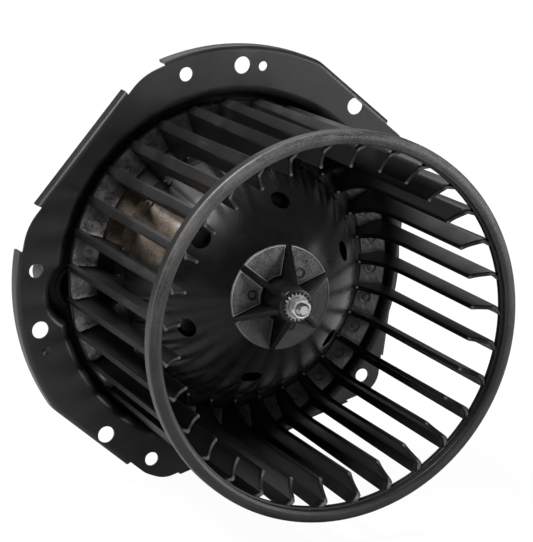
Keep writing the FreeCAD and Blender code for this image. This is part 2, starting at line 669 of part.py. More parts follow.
def brush(deg):
    y1 = CARD_Y - 0.6
    bar = block(COMM_R - 2, BRUSH_BOX_R - 7.0, BRUSH_W / 2, y1 - BRUSH_H, y1, deg)
    return bar.cut(rod(COMM_R + BRUSH_GAP, 0, 60))


def brush_spring(deg):
    # the coil spring behind the brush, as a sleeve of its outer and inner size
    y = CARD_Y - 0.6 - BRUSH_H / 2
    r0, r1 = BRUSH_BOX_R - 7.0, BRUSH_BOX_R - 0.6
    return side_rod(2.6, r0, r1, y, deg).cut(side_rod(1.9, r0 - 1, r1 + 1, y, deg))


def terminal_block():
    y0, y1 = CARD_Y + CARD_T, 58.0
    body = block(18.0, 31.0, 7.5, y0, y1, 0)
    body = body.fuse(block(16.6, 32.4, 8.9, CAN_BACK_Y + CAN_WALL, CAN_BACK_Y + CAN_WALL + 1.2, 0))
    return body.cut(block(19.4, 29.6, 6.1, 48.0, y1 + 1, 0)).cut([terminal(1), terminal(-1)])


def terminal(side):
    z = side * 3.4
    return Part.makeBox(6.3, 55.5 - CARD_Y - CARD_T, 0.8, v(21.4, CARD_Y + CARD_T, z - 0.4))


def snap_ring(y0, y1):
    # pressed steel ring that keeps the bearing in its seat
    return tube(BEARING_R + 3.2, SHAFT_HOLE_R, y0, y1)


export("blower_wheel", blower_wheel())
export("mounting_flange", mounting_flange())
export("motor_can", motor_can())
export("end_cap", end_cap())
export("mount_ring", mount_ring())
export("motor_screws", motor_screws())
export("cooling_duct", cooling_duct())
export("front_bearing", bearing(FRONT_BEARING_Y))
export("rear_bearing", bearing(REAR_BEARING_Y))
export("front_retainer", snap_ring(CAN_FRONT_Y + CAN_WALL, CAN_FRONT_Y + CAN_WALL + 0.8))
export("rear_retainer", snap_ring(CAN_BACK_Y - 0.8, CAN_BACK_Y))
export("magnet_left", magnet(180))
export("magnet_right", magnet(0))
export("magnet_clip_upper", magnet_clip(90))
export("magnet_clip_lower", magnet_clip(270))
export("shaft", shaft())
export("armature_core", armature_core())
export("armature_winding", armature_winding())
export("commutator", commutator())
export("commutator_hub", insulator())
export("thrust_washer_front", tube(SHAFT_R + 2.6, SHAFT_R, CAN_FRONT_Y + 0.4, CAN_FRONT_Y + 1.0))
export("thrust_washer_rear", tube(SHAFT_R + 2.6, SHAFT_R, CAN_BACK_Y - 2.1, CAN_BACK_Y - 1.1))
export("lock_washer", lock_washer())
export("shaft_nut", shaft_nut())
export("brush_card", brush_card())
export("brush_box_upper", brush_box(90))
export("brush_box_lower", brush_box(270))
export("brush_upper", brush(90))
export("brush_lower", brush(270))
export("brush_spring_upper", brush_spring(90))
export("brush_spring_lower", brush_spring(270))
export("terminal_block", terminal_block())
export("terminal_upper", terminal(1))
export("terminal_lower", terminal(-1))
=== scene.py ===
import bmesh
import bpy
import json
import math
import numpy as np
from mathutils import Matrix, Vector


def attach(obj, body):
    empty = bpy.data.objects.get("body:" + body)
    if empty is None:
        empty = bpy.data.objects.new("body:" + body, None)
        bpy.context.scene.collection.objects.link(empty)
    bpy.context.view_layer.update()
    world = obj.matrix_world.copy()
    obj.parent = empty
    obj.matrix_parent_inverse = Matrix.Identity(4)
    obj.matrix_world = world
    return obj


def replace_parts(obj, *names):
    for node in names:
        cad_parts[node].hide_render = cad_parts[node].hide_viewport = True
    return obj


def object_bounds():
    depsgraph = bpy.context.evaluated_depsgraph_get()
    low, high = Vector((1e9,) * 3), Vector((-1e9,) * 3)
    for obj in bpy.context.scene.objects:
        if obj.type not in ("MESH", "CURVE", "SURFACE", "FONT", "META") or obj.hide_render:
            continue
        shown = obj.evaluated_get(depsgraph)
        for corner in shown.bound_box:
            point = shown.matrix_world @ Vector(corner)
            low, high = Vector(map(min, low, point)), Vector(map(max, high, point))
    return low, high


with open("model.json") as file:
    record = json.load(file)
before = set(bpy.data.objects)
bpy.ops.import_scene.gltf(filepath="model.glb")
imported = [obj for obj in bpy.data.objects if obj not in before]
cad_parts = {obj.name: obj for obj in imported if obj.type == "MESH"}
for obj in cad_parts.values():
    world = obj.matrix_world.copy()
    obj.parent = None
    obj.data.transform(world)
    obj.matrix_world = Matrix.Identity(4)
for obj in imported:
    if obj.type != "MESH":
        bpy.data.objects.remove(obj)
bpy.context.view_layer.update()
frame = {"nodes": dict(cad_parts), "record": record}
mm = 0.001
nodes = frame["nodes"]
slots = {s["node"]: s["material_slot"] for s in frame["record"]["subparts"]}
print("frame loaded with", len(nodes), "CAD nodes")


# sizes of the moulded wheel in mm and degrees, which its finishes follow too

ring = {"radius": 75.0, "bore": 70.2, "front": -102.5, "back": -96.7, "step": 0.7, "stepDepth": 2.9,
        "count": 320}
blade = {"count": 31, "first": 22.9, "thick": 1.7, "edge": 0.35,
         "bend": 0.27, "bendR": 67.8, "bendDeg": 0.8, "inDeg": 0.5,  # bend: share of the width up to the hook
         "front": -99.6, "back": 2.0,
         "outY": [-97.3, -96.75, 2.0],  # places along the outer edge, with the edge's radius and turn there
         "outR": [70.9, 71.5, 69.2], "outTurn": [-2.3, -1.75, -1.5],
         "frontR": [60.4, 67.6, 69.6, 71.5],  # radii from the tip to the ring, with the front end's place there
         "frontY": [-93.6, -98.7, -99.6, -99.6],
         "inner": [(60.4, -93.6), (60.4, -70), (60.4, -46), (60.35, -34), (59.9, -26), (58.7, -18.6),
                   (56.6, -13.4), (53.6, -9.9), (52.3, -8.9), (52.6, -6.0), (54.0, -2.0), (55.6, 2.0)],
         "roundEnd": (35, 70, 90, 110, 145)}  # degrees round the half circle that rounds the inner edge
hub = {"discR": 20.8, "discY": -48.8, "floorDrop": 0.35, "foot": -46.6, "bossTop": -64.5, "bossTopR": 6.9,
       "bossBaseR": 7.8, "bossBevel": 0.9, "boreR": 2.4, "ribs": 6, "ribFirst": 20.0, "ribThick": 2.0}


# shader helpers

class Socket:
    # wraps one output socket, so that sums and products of values add their Math nodes
    def __init__(self, owner, link):
        self.owner = owner
        self.link = link

    def math(self, operation, *others):
        return self.owner.add("ShaderNodeMath", {"operation": operation}, [self, *others])

    def __add__(self, other):
        return self.math("ADD", other)

    def __sub__(self, other):
        return self.math("SUBTRACT", other)

    def __rsub__(self, other):
        return self.owner.add("ShaderNodeMath", {"operation": "SUBTRACT"}, [other, self])

    def __mul__(self, other):
        return self.math("MULTIPLY", other)

    def __pow__(self, other):
        return self.math("POWER", other)

    __radd__ = __add__
    __rmul__ = __mul__

    def clamp(self):
        return self.math("MINIMUM", 1.0).math("MAXIMUM", 0.0)

    def ramp(self, low, high):
        # 0 below low, 1 above high, smooth between
        return self.owner.add("ShaderNodeMapRange", {"interpolation_type": "SMOOTHSTEP"},
                              {"Value": self, "From Min": low, "From Max": high})

    def band(self, low, full, fall, end):
        # 0 below low, 1 from full to fall, 0 again above end
        return self.ramp(low, full) * (1.0 - self.ramp(fall, end))

    def towards(self, degrees, low, high):
        # for a turn: 1 on the side at this angle, 0 on the other, smooth between the two cosines
        return (self - math.radians(degrees)).math("COSINE").ramp(low, high)


class NodeTree:
    # any node tree, emptied, with the single method that adds its nodes
    def __init__(self, tree):
        self.tree = tree
        self.tree.nodes.clear()

    def add(self, kind, settings=None, values=None, output=0):
        # the settings are set first, then each socket gets its value or link; one output socket comes back
        node = self.tree.nodes.new(kind)
        for key, value in (settings or {}).items():
            setattr(node, key, value)
        pairs = values.items() if isinstance(values, dict) else enumerate(values or [])
        for key, value in pairs:
            if isinstance(value, Socket):
                self.tree.links.new(value.link, node.inputs[key])
            else:
                node.inputs[key].default_value = value
        return Socket(self, node.outputs[output])

    def close(self, kind, surface):
        # the output node of this kind shows the surface
        self.tree.links.new(surface.link, self.tree.nodes.new(kind).inputs[0])


class Shader(NodeTree):
    # one material; patterns read Object coordinates, in metres
    def __init__(self, name):
        self.material = bpy.data.materials.new(name)
        self.material.use_nodes = True
        super().__init__(self.material.node_tree)

    def place(self, scale=(1, 1, 1)):
        spot = self.add("ShaderNodeTexCoord", output=3)
        return self.add("ShaderNodeMapping", {}, {"Vector": spot, "Scale": scale})

    def polar(self):
        # distance from the wheel's axis, turn about it from +X towards +Z, and place along it
        spot = self.add("ShaderNodeTexCoord", output=3)
        x, y, z = (self.add("ShaderNodeSeparateXYZ", {}, [spot], k) for k in range(3))
        return (x * x + z * z) ** 0.5, z.math("ARCTAN2", x), y

    def combine(self, x, y, z):
        return self.add("ShaderNodeCombineXYZ", {}, [x, y, z])

    def noise(self, where, scale, detail=3.0, rough=0.55):
        values = {"Vector": where, "Scale": scale, "Detail": detail, "Roughness": rough}
        return self.add("ShaderNodeTexNoise", {}, values)

    def mix(self, mask, one, two):
        # a colour mix, since a Math node would turn a colour grey
        return self.add("ShaderNodeMix", {"data_type": "RGBA"}, {0: mask, 6: one, 7: two}, output=2)

    def bump(self, height, strength, distance):
        return self.add("ShaderNodeBump", {}, {"Height": height, "Strength": strength, "Distance": distance})

    def finish(self, **sockets):
        # closes the material with a Principled shader, whose sockets are named in camelCase here
        names = {"baseColor": "Base Color", "roughness": "Roughness", "metallic": "Metallic",
                 "specular": "Specular IOR Level", "normal": "Normal"}
        body = self.add("ShaderNodeBsdfPrincipled", {}, {names[key]: value for key, value in sockets.items()})
        self.close("ShaderNodeOutputMaterial", body)
        return self.material


def grey(v, warm=0.0):
    return (v * (1 + warm), v, v * (1 - warm), 1.0)


# materials: settings are in metres and radians, but for the degrees that painted light and shade are turned
# towards or away from

wheelFinish = {"dark": 0.0050, "light": 0.0125, "scuff": 0.075, "tip": 0.13, "grain": 2520.0, "rough": 0.36,
               "roughSpan": 0.16, "specular": 0.38}


def wheelPlastic():
    # black polypropylene: cloudy sheen, fine grain and a few pale handling scuffs that run along the blades
    f = wheelFinish
    s = Shader("wheelPlastic")
    where = s.place()
    cloud = s.noise(where, 38.0, 4.0, 0.6)
    grain = s.noise(where, f["grain"], 2.0, 0.5)
    streak = s.noise(s.place((900, 60, 900)), 1.0, 2.0, 0.5)
    marks = (streak.ramp(0.60, 0.76) * cloud.ramp(0.48, 0.72)).clamp()
    tone = s.mix((cloud.ramp(0.35, 0.7) * 0.6 + grain * 0.3).clamp(), grey(f["dark"]), grey(f["light"]))
    tone = s.mix((marks * 0.25).clamp(), tone, grey(f["scuff"], 0.03))
    # the blades' front ends are rubbed pale along the straight chamfer from the tip to the shoulder
    radius, _, y = s.polar()
    (tipR, shoulderR), (tipY, shoulderY) = blade["frontR"][:2], blade["frontY"][:2]
    slope = (tipY - shoulderY) / (shoulderR - tipR)
    tip = 1.0 - (y - tipY * mm + (radius - tipR * mm) * slope).ramp(0.00012, 0.00045)
    tone = s.mix((tip * (0.55 + cloud * 0.5)).clamp(), tone, grey(f["tip"], 0.02))
    return s.finish(baseColor=tone, specular=f["specular"],
                    roughness=f["rough"] + cloud.ramp(0.3, 0.75) * f["roughSpan"] + marks * 0.15,
                    normal=s.bump(grain * 0.5 + cloud * 0.5, 0.25, 0.00006))


# the brown colour here is a painted lit patch, and the wall colour is painted shade
domeFinish = {"dark": 0.0042, "light": 0.0085, "wall": 0.002, "dustAndLitPatch": (0.20, 0.155, 0.114, 1),
              "litPatchTurn": (2.36, 2.46, 2.80, 2.92), "litPatchR": (0.0385, 0.0425, 0.0565, 0.0575),
              "dullTurn": (1.8, 2.2), "dullR": (0.0405, 0.0445), "wallR": (0.0503, 0.0508), "wallAway": 150,
              "rough": 0.23, "specular": 0.38}


def domePlastic():
    # black gloss of the hub; its left outer flank carries a warm brown painted lit patch, light from the left
    # through the cage laid on as colour, and its outer wall is painted darker as shade, save on one side
    f = domeFinish
    s = Shader("domePlastic")
    radius, turn, _ = s.polar()
    where = s.place()
    cloud = s.noise(where, 38.0, 4.0, 0.6)
    grain = s.noise(where, 1500.0, 4.0, 0.7)
    patch = s.noise(where, 60.0, 5.0, 0.7).ramp(0.30, 0.62)
    # painted light: a warm lit patch on the left outer flank, where light from the left falls through the cage
    litPatchPlace = turn.band(*f["litPatchTurn"]) * radius.band(*f["litPatchR"])
    dustAndLitPatch = (litPatchPlace * (patch * 0.7 + grain.ramp(0.4, 0.62) * 0.5)).clamp()
    dull = turn.ramp(*f["dullTurn"]) * radius.ramp(*f["dullR"])
    # painted shade: the outer wall is painted darker and made rougher, except on its side near 150 degrees
    wall = radius.ramp(*f["wallR"]) * (1.0 - turn.towards(f["wallAway"], -0.2, 0.4))
    tone = s.mix(cloud.ramp(0.35, 0.7), grey(f["dark"]), grey(f["light"]))
    tone = s.mix((wall * 0.8).clamp(), tone, grey(f["wall"]))
    tone = s.mix(dustAndLitPatch, tone, f["dustAndLitPatch"])
    return s.finish(baseColor=tone, specular=f["specular"],
                    roughness=f["rough"] + cloud.ramp(0.3, 0.75) * 0.14 + dull * 0.36 + wall * 0.45,
                    normal=s.bump(grain * (0.35 + dustAndLitPatch) + cloud * 0.4, 0.28, 0.00007))


# the pale tone is partly wear and partly a painted highlight, turned towards the top
ringFinish = {"dark": 0.007, "light": 0.015, "wearAndHighlight": 0.15, "faceDepth": (0.0006, 0.0022),
              "highlightTowards": 90, "outerR": (0.0716, 0.0732), "rough": 0.34}


def ringPlastic():
    # the front ring is rubbed: scuffs run round it, and its face is painted greyer towards the top and the
    # outer rim as a highlight of the light from above
    f = ringFinish
    s = Shader("ringPlastic")
    radius, turn, y = s.polar()
    where = s.place()
    cloud = s.noise(where, 55.0, 5.0, 0.65)
    lines = s.noise(s.combine(radius * 5200, turn * 7.0, y * 5200), 1.0, 3.0, 0.6)
    speck = s.noise(where, 1500.0, 3.0, 0.7)
    face = 1.0 - (y - ring["front"] * mm).ramp(*f["faceDepth"])
    wear = lines.ramp(0.42, 0.66) * 0.65 + cloud.ramp(0.38, 0.62) * 0.4 + speck.ramp(0.46, 0.66) * 0.6
    # painted highlight: the top of the face is painted paler, its outer part most, where the light from above
    # catches it
    side = 0.10 + turn.towards(f["highlightTowards"], -0.3, 0.9) * 1.05
    wearAndHighlight = (face * wear * side * (0.4 + radius.ramp(*f["outerR"]) * 0.75)).clamp()
    tone = s.mix((cloud.ramp(0.3, 0.7) * 0.7).clamp(), grey(f["dark"]), grey(f["light"]))
    tone = s.mix(wearAndHighlight, tone, grey(f["wearAndHighlight"], 0.02))
    return s.finish(baseColor=tone, specular=0.5,
                    roughness=f["rough"] + cloud.ramp(0.3, 0.7) * 0.10 + wearAndHighlight * 0.12,
                    normal=s.bump(lines * 0.6 + speck * 0.9, 0.6, 0.00011))


# the bead tone is a painted highlight, and the turn setting gives the painted-lit side
discFinish = {"dark": 0.012, "light": 0.22, "bead": 0.62, "beadRise": 0.2, "paintedLightTowards": 112, "rough": 0.46}


def discPlastic():
    # the hub disc's sectors are spark-eroded: coarse and matt, paler than the flank, with beads painted bright
    # as a highlight; sectors and beads are painted paler towards the upper left as painted light
    f = discFinish
    s = Shader("discPlastic")
    where = s.place()
    pits = s.noise(where, 1900.0, 4.0, 0.7)
    cloud = s.noise(where, 260.0, 3.0, 0.6)
    _, turn, y = s.polar()
    bead = ((hub["discY"] - f["beadRise"]) * mm - y).ramp(-0.00002, 0.00009)
    # painted light: the side turned to the upper left is painted paler, the other side darker as shade
    paintedLight = turn.towards(f["paintedLightTowards"], -0.75, 0.75)
    mottle = (pits.ramp(0.36, 0.66) * 0.7 + cloud.ramp(0.4, 0.7) * 0.4) * (0.22 + paintedLight * 0.9)
    tone = s.mix(mottle.clamp(), grey(f["dark"]), grey(f["light"], 0.02))
    # painted highlight: the beads are painted pale, near white on the lit side
    tone = s.mix((bead * (0.06 + paintedLight * 0.94)).clamp(), tone, grey(f["bead"]))
    return s.finish(baseColor=tone, specular=0.5,
                    roughness=f["rough"] + pits.ramp(0.3, 0.7) * 0.2 - bead * 0.18,
                    normal=s.bump(pits * 0.8 + cloud * 0.5, 0.7, 0.00018))


# the light tone and the turn setting give the painted light on the sectors
padFinish = {"dark": 0.010, "light": 0.44, "paintedLightTowards": 178, "rough": 0.42}


def padPlastic():
    # spark-eroded sectors of the base plate, coarse; at the left they are painted much paler than the blades as
    # painted light
    f = padFinish
    s = Shader("padPlastic")
    where = s.place()
    pits = s.noise(where, 1300.0, 4.0, 0.7)
    cloud = s.noise(where, 150.0, 4.0, 0.65)
    _, turn, _ = s.polar()
    # how far round the gap between two blades: 0 at one blade's root, 1 at the next
    gaps = (turn - math.radians(blade["first"])) * (blade["count"] / (2 * math.pi)) + float(blade["count"])
    share = gaps.math("FRACT")
    # painted light: sectors on the left side are painted paler, those on the right darker as shade
    paintedLight = turn.towards(f["paintedLightTowards"], -0.1, 0.75)
    # painted shadow of the blade at each gap's start, and a painted highlight along the flash at its end
    paintedLight = paintedLight * (0.25 + share.ramp(0.15, 0.62) * 0.6 + share.ramp(0.80, 0.90) * 0.9)
    mottle = (pits.ramp(0.30, 0.70) * 0.35 + cloud.ramp(0.40, 0.64) * 0.65) * (0.12 + paintedLight * 0.88)
    tone = s.mix(mottle.clamp(), grey(f["dark"]), grey(f["light"], 0.04))
    return s.finish(baseColor=tone, specular=0.5, roughness=f["rough"] + pits.ramp(0.3, 0.7) * 0.2,
                    normal=s.bump(pits * 0.5 + cloud * 0.6, 0.6, 0.00025))


paintFinish = {"dark": 0.010, "light": 0.024, "dustAndLitPatch": 0.09, "rough": 0.34}


def blackPaint():
    # satin stoving paint on stamped steel, with slight orange peel, dust and rubbed streaks
    f = paintFinish
    s = Shader("blackPaint")
    where = s.place()
    peel = s.noise(where, 700.0, 2.0, 0.5)
    cloud = s.noise(where, 24.0, 4.0, 0.6)
    dustAndLitPatch = s.noise(where, 2600.0, 2.0, 0.6).ramp(0.66, 0.78)
    rub = (s.noise(s.place((140, 30, 60)), 1.0, 5.0, 0.7).ramp(0.60, 0.74) * cloud.ramp(0.5, 0.7)).clamp()
    tone = s.mix(cloud.ramp(0.35, 0.7), grey(f["dark"]), grey(f["light"]))
    tone = s.mix((dustAndLitPatch * 0.25 + rub * 0.15).clamp(), tone, grey(f["dustAndLitPatch"], 0.05))
    return s.finish(baseColor=tone, specular=0.5,
                    roughness=f["rough"] + cloud.ramp(0.3, 0.7) * 0.10 + rub * 0.1,
                    normal=s.bump(peel, 0.16, 0.00008))


def platedSteel(name, tone, warm, rough, drawn=True):
    # zinc-plated steel: faint drawing lines round the axis or a plain grain, clouding and spots
    s = Shader(name)
    where = s.place()
    if drawn:
        radius, turn, y = s.polar()
        lines = s.noise(s.combine(radius * 2600, turn * 3.0, y * 2600), 1.0, 3.0, 0.6)
    else:
        lines = s.noise(where, 1200.0, 3.0)
    cloud = s.noise(where, 70.0, 5.0, 0.65)
    spots = s.noise(where, 900.0, 2.0, 0.6).ramp(0.68, 0.76)
    colour = s.mix(cloud.ramp(0.3, 0.7), grey(tone * 0.78, warm), grey(tone, warm * 0.4))
    colour = s.mix((spots * 0.5).clamp(), colour, grey(tone * 0.45, warm))
    return s.finish(baseColor=colour, metallic=1.0,
                    roughness=rough + cloud.ramp(0.3, 0.7) * 0.12 + lines * 0.1,
                    normal=s.bump(lines, 0.12, 0.00005))


def mouldedPlastic(name, colour, rough):
    # plain moulding: clouded by a quarter of its tone, with a fine grain
    s = Shader(name)
    where = s.place()
    grain = s.noise(where, 1600.0, 2.0, 0.5)
    cloud = s.noise(where, 60.0, 4.0, 0.6)
    low = tuple(c * 0.75 for c in colour[:3]) + (1.0,)
    return s.finish(baseColor=s.mix(cloud.ramp(0.3, 0.7), low, colour), roughness=rough + cloud * 0.12,
                    normal=s.bump(grain, 0.25, 0.00006))


def metalGrain(name, colour, metallic, rough, scale=900.0, strength=0.15):
    # grained surface whose tone varies with the grain and with slow clouds
    s = Shader(name)
    where = s.place()
    grain = s.noise(where, scale, 4.0, 0.65)
    cloud = s.noise(where, 90.0, 4.0, 0.6)
    low = tuple(c * 0.6 for c in colour[:3]) + (1.0,)
    tone = s.mix((grain.ramp(0.35, 0.65) * 0.5 + cloud.ramp(0.3, 0.7) * 0.5).clamp(), low, colour)
    return s.finish(baseColor=tone, metallic=metallic, roughness=rough + cloud.ramp(0.3, 0.7) * 0.15,
                    normal=s.bump(grain, strength, 0.00008))


def woundCopper():
    # strands of enamelled wire, finer across the winding than along it
    s = Shader("woundCopper")
    radius, turn, y = s.polar()
    strands = s.noise(s.combine(radius * 900, turn * 60.0, y * 900), 1.0, 2.0, 0.5)
    tone = s.mix(strands.ramp(0.35, 0.65), (0.16, 0.05, 0.02, 1), (0.50, 0.20, 0.08, 1))
    return s.finish(baseColor=tone, metallic=0.7, roughness=0.34 + strands * 0.15,
                    normal=s.bump(strands, 0.6, 0.0004))


finishes = {
    "wheel": wheelPlastic(), "ring": ringPlastic(), "disc": discPlastic(), "paint": blackPaint(),
    "dome": domePlastic(), "pad": padPlastic(), "winding": woundCopper(),
    # painted highlight: the blade feet are painted pale grey to stand for the glints on them
    "foot": metalGrain("paintedGlintPlastic", (0.20, 0.20, 0.195, 1), 0.0, 0.30, 1500.0, 0.2),
    "zinc": platedSteel("zincSteel", 0.35, 0.05, 0.34),
    "bright": platedSteel("brightZinc", 0.86, 0.02, 0.24, False),
    "washer": platedSteel("washerZinc", 0.42, 0.02, 0.24, False),
    "spring": metalGrain("springSteel", (0.42, 0.42, 0.43, 1), 1.0, 0.30),
    "shaft": metalGrain("groundSteel", (0.62, 0.62, 0.63, 1), 1.0, 0.20),
    "bronze": metalGrain("sinteredBronze", (0.50, 0.33, 0.16, 1), 0.9, 0.42, 2200.0, 0.4),
    "ferrite": metalGrain("ferrite", (0.09, 0.09, 0.095, 1), 0.2, 0.5, 1400.0, 0.4),
    "core": metalGrain("stackedSheet", (0.25, 0.25, 0.26, 1), 0.9, 0.40),
    "copper": metalGrain("turnedCopper", (0.65, 0.33, 0.19, 1), 1.0, 0.25),
    "brass": metalGrain("stampedBrass", (0.70, 0.52, 0.25, 1), 1.0, 0.27),
    "carbon": metalGrain("pressedCarbon", (0.05, 0.05, 0.052, 1), 0.1, 0.55, 1800.0, 0.4),
    "board": mouldedPlastic("phenolicBoard", (0.20, 0.10, 0.05, 1), 0.45),
    "nylon": mouldedPlastic("naturalNylon", (0.70, 0.68, 0.60, 1), 0.4),
    "duct": mouldedPlastic("ductPlastic", (0.022, 0.022, 0.023, 1), 0.38),
    "socket": mouldedPlastic("socketPlastic", (0.020, 0.020, 0.021, 1), 0.36)}

nodeFinish = {
    "blower_wheel": "wheel", "shaft": "shaft", "shaft_nut": "bright", "lock_washer": "bright",
    "mounting_flange": "paint", "mount_ring": "zinc", "motor_screws": "bright", "cooling_duct": "duct",
    "motor_can": "zinc", "end_cap": "zinc", "magnet_left": "ferrite", "magnet_right": "ferrite",
    "magnet_clip_upper": "spring", "magnet_clip_lower": "spring",
    "front_bearing": "bronze", "front_retainer": "spring", "thrust_washer_front": "nylon",
    "rear_bearing": "bronze", "rear_retainer": "spring", "thrust_washer_rear": "nylon",
    "armature_core": "core", "armature_winding": "winding", "commutator": "copper", "commutator_hub": "board",
    "brush_card": "board", "brush_box_upper": "brass", "brush_box_lower": "brass",
    "brush_upper": "carbon", "brush_lower": "carbon", "brush_spring_upper": "spring",
    "brush_spring_lower": "spring", "terminal_block": "socket", "terminal_upper": "brass",
    "terminal_lower": "brass"}
for nodeName, finish in nodeFinish.items():
    nodes[nodeName].data.materials.clear()
    nodes[nodeName].data.materials.append(finishes[finish])
print("materials made:", len(finishes))


# mesh helpers: sizes are mm until a piece is made

def shadeSmooth(mesh, sharpDegrees):
    mesh.polygons.foreach_set("use_smooth", np.ones(len(mesh.polygons), bool))
    mesh.set_sharp_from_angle(angle=math.radians(sharpDegrees))


def makePiece(name, points, faces, finish, body, slot, sharpDegrees=38.0):
    mesh = bpy.data.meshes.new(name)
    mesh.from_pydata((np.asarray(points, float) * mm).tolist(), [], faces)
    mesh.validate()
    piece = bpy.data.objects.new(name, mesh)
    bpy.context.scene.collection.objects.link(piece)
    mesh.materials.append(finishes[finish])
    shadeSmooth(mesh, sharpDegrees)
    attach(piece, body)
    return piece


def gridFaces(rows, columns, closedRows=False, closedColumns=False, flip=False):
    # quads of a grid whose point (i, j) is number i * columns + j
    i = np.arange(rows if closedRows else rows - 1)
    j = np.arange(columns if closedColumns else columns - 1)
    i, j = (a.ravel() for a in np.meshgrid(i, j, indexing="ij"))
    k, m = (i + 1) % rows, (j + 1) % columns
    quads = np.stack([i * columns + j, k * columns + j, k * columns + m, i * columns + m], 1)
    return (quads[:, ::-1] if flip else quads).tolist()


def roundProfile(corners, steps=6, hold=0.06):
    # each corner (r, y, radius) becomes an arc that touches both its sides: the arc's middle lies on the
    # bisector at radius / sin(half the angle), and a holding point stands beside each end where there is room
    places = np.array([c[:2] for c in corners], float)
    out = []
    for i, here in enumerate(places):
        radius = corners[i][2]
        before, after = places[i - 1] - here, places[(i + 1) % len(places)] - here
        roomBefore, roomAfter = np.linalg.norm(before), np.linalg.norm(after)
        before, after = before / roomBefore, after / roomAfter
        angle = math.acos(float(np.clip(before @ after, -1, 1)))
        if radius <= 0 or angle > math.radians(178):
            out.append(here)
            continue
        cut = min(radius / math.tan(angle / 2), roomBefore * 0.49, roomAfter * 0.49)
        radius = cut * math.tan(angle / 2)
        middle = here + (before + after) / np.linalg.norm(before + after) * (radius / math.sin(angle / 2))
        first, last = here + before * cut - middle, here + after * cut - middle
        start = math.atan2(first[1], first[0])
        span = (math.atan2(last[1], last[0]) - start + math.pi) % (2 * math.pi) - math.pi
        t = start + span * np.linspace(0, 1, steps + 1)
        if roomBefore * 0.49 > cut + hold:
            out.append(here + before * (cut + hold))
        out.extend(middle + radius * np.stack([np.cos(t), np.sin(t)], 1))
        if roomAfter * 0.49 > cut + hold:
            out.append(here + after * (cut + hold))
    return np.array(out)


def spin(profile, count, first=0.0):
    # every (r, y) point of the profile is carried round the Y axis: x = r cos t, z = r sin t
    t = np.radians(first) + np.linspace(0, 2 * np.pi, count, endpoint=False)
    r, y = profile[:, 0], profile[:, 1]
    x = np.cos(t)[:, None] * r[None, :]
    z = np.sin(t)[:, None] * r[None, :]
    return np.stack([x, np.broadcast_to(y, x.shape), z], 2)


def turned(points, degrees):
    # turned about the Y axis; the angle grows from +X towards +Z
    a = math.radians(degrees)
    p = np.asarray(points, float)
    x, z = p[..., 0], p[..., 2]
    return np.stack([x * math.cos(a) - z * math.sin(a), p[..., 1], x * math.sin(a) + z * math.cos(a)], -1)


def joined(shapes):
    # several (points, faces) as one
    points, faces, start = [], [], 0
    for shapePoints, shapeFaces in shapes:
        points.append(np.asarray(shapePoints, float).reshape(-1, 3))
        faces.extend([[k + start for k in face] for face in shapeFaces])
        start += len(points[-1])
    return np.concatenate(points), faces


def around(points, faces, first, count):
    # copies of one shape, evenly spaced round the axis from this angle on
    return joined([(turned(points, first + k * 360.0 / count), faces) for k in range(count)])


def smoothCopy(node, name, finish, body):
    # a CAD node's loose triangles, merged and shaded smooth, with normals that keep flat faces flat
    mesh = nodes[node].data.copy()
    mesh.name = name
    piece = bpy.data.objects.new(name, mesh)
    bpy.context.scene.collection.objects.link(piece)
    bm = bmesh.new()
    bm.from_mesh(mesh)
    bmesh.ops.remove_doubles(bm, verts=bm.verts, dist=0.000004)
    bmesh.ops.dissolve_degenerate(bm, dist=0.000001, edges=bm.edges)
    bm.to_mesh(mesh)
    bm.free()
    mesh.materials.clear()
    mesh.materials.append(finishes[finish])
    shadeSmooth(mesh, 32.0)
    weighted = piece.modifiers.new("evenShade", "WEIGHTED_NORMAL")
    weighted.keep_sharp = True
    weighted.weight = 90
    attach(piece, body)
    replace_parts(piece, node)
    return piece


def bar(radius, a, b, count=48):
    # a closed round bar from a to b: two circles of radius * (cos t side + sin t up), square to its run; any
    # direction that isn't the run's serves to find the first of the two
    run = (b - a) / np.linalg.norm(b - a)
    side = np.cross(run, [0.13, 0.97, 0.21])
    side /= np.linalg.norm(side)
    up = np.cross(run, side)
    t = np.linspace(0, 2 * np.pi, count, endpoint=False)
    circle = radius * (np.cos(t)[:, None] * side + np.sin(t)[:, None] * up)
    faces = gridFaces(2, count, False, True, flip=True)
    faces += [list(range(count)), list(range(2 * count - 1, count - 1, -1))]
    return np.concatenate([circle + a, circle + b]), faces


def cutHoles(piece, points, faces, sharpDegrees):
    # the boolean is applied here, so that the finished mesh is plain
    mesh = bpy.data.meshes.new("holeTool")
    mesh.from_pydata((points * mm).tolist(), [], faces)
    tool = bpy.data.objects.new("holeTool", mesh)
    bpy.context.scene.collection.objects.link(tool)
    cut = piece.modifiers.new("holes", "BOOLEAN")
    cut.operation, cut.solver, cut.object = "DIFFERENCE", "EXACT", tool
    bpy.context.view_layer.update()
    evaluated = piece.evaluated_get(bpy.context.evaluated_depsgraph_get())
    holed = bpy.data.meshes.new_from_object(evaluated)
    piece.modifiers.clear()
    piece.data = holed
    bpy.data.objects.remove(tool)
    shadeSmooth(holed, sharpDegrees)


def pushMark(distance, mark):
    # height of a round ejector mark: sunk inside its size, a raised rim round it and a low dome in its middle
    sunk = mark["deep"] / (1 + np.exp((distance - mark["size"]) / mark["slope"]))
    rim = mark["rim"] * np.exp(-((distance - mark["size"] - mark["rimOff"]) / mark["rimWide"]) ** 2)
    return rim - sunk + mark["dome"] * np.exp(-(distance / mark["domeR"]) ** 4)


# the moulded wheel

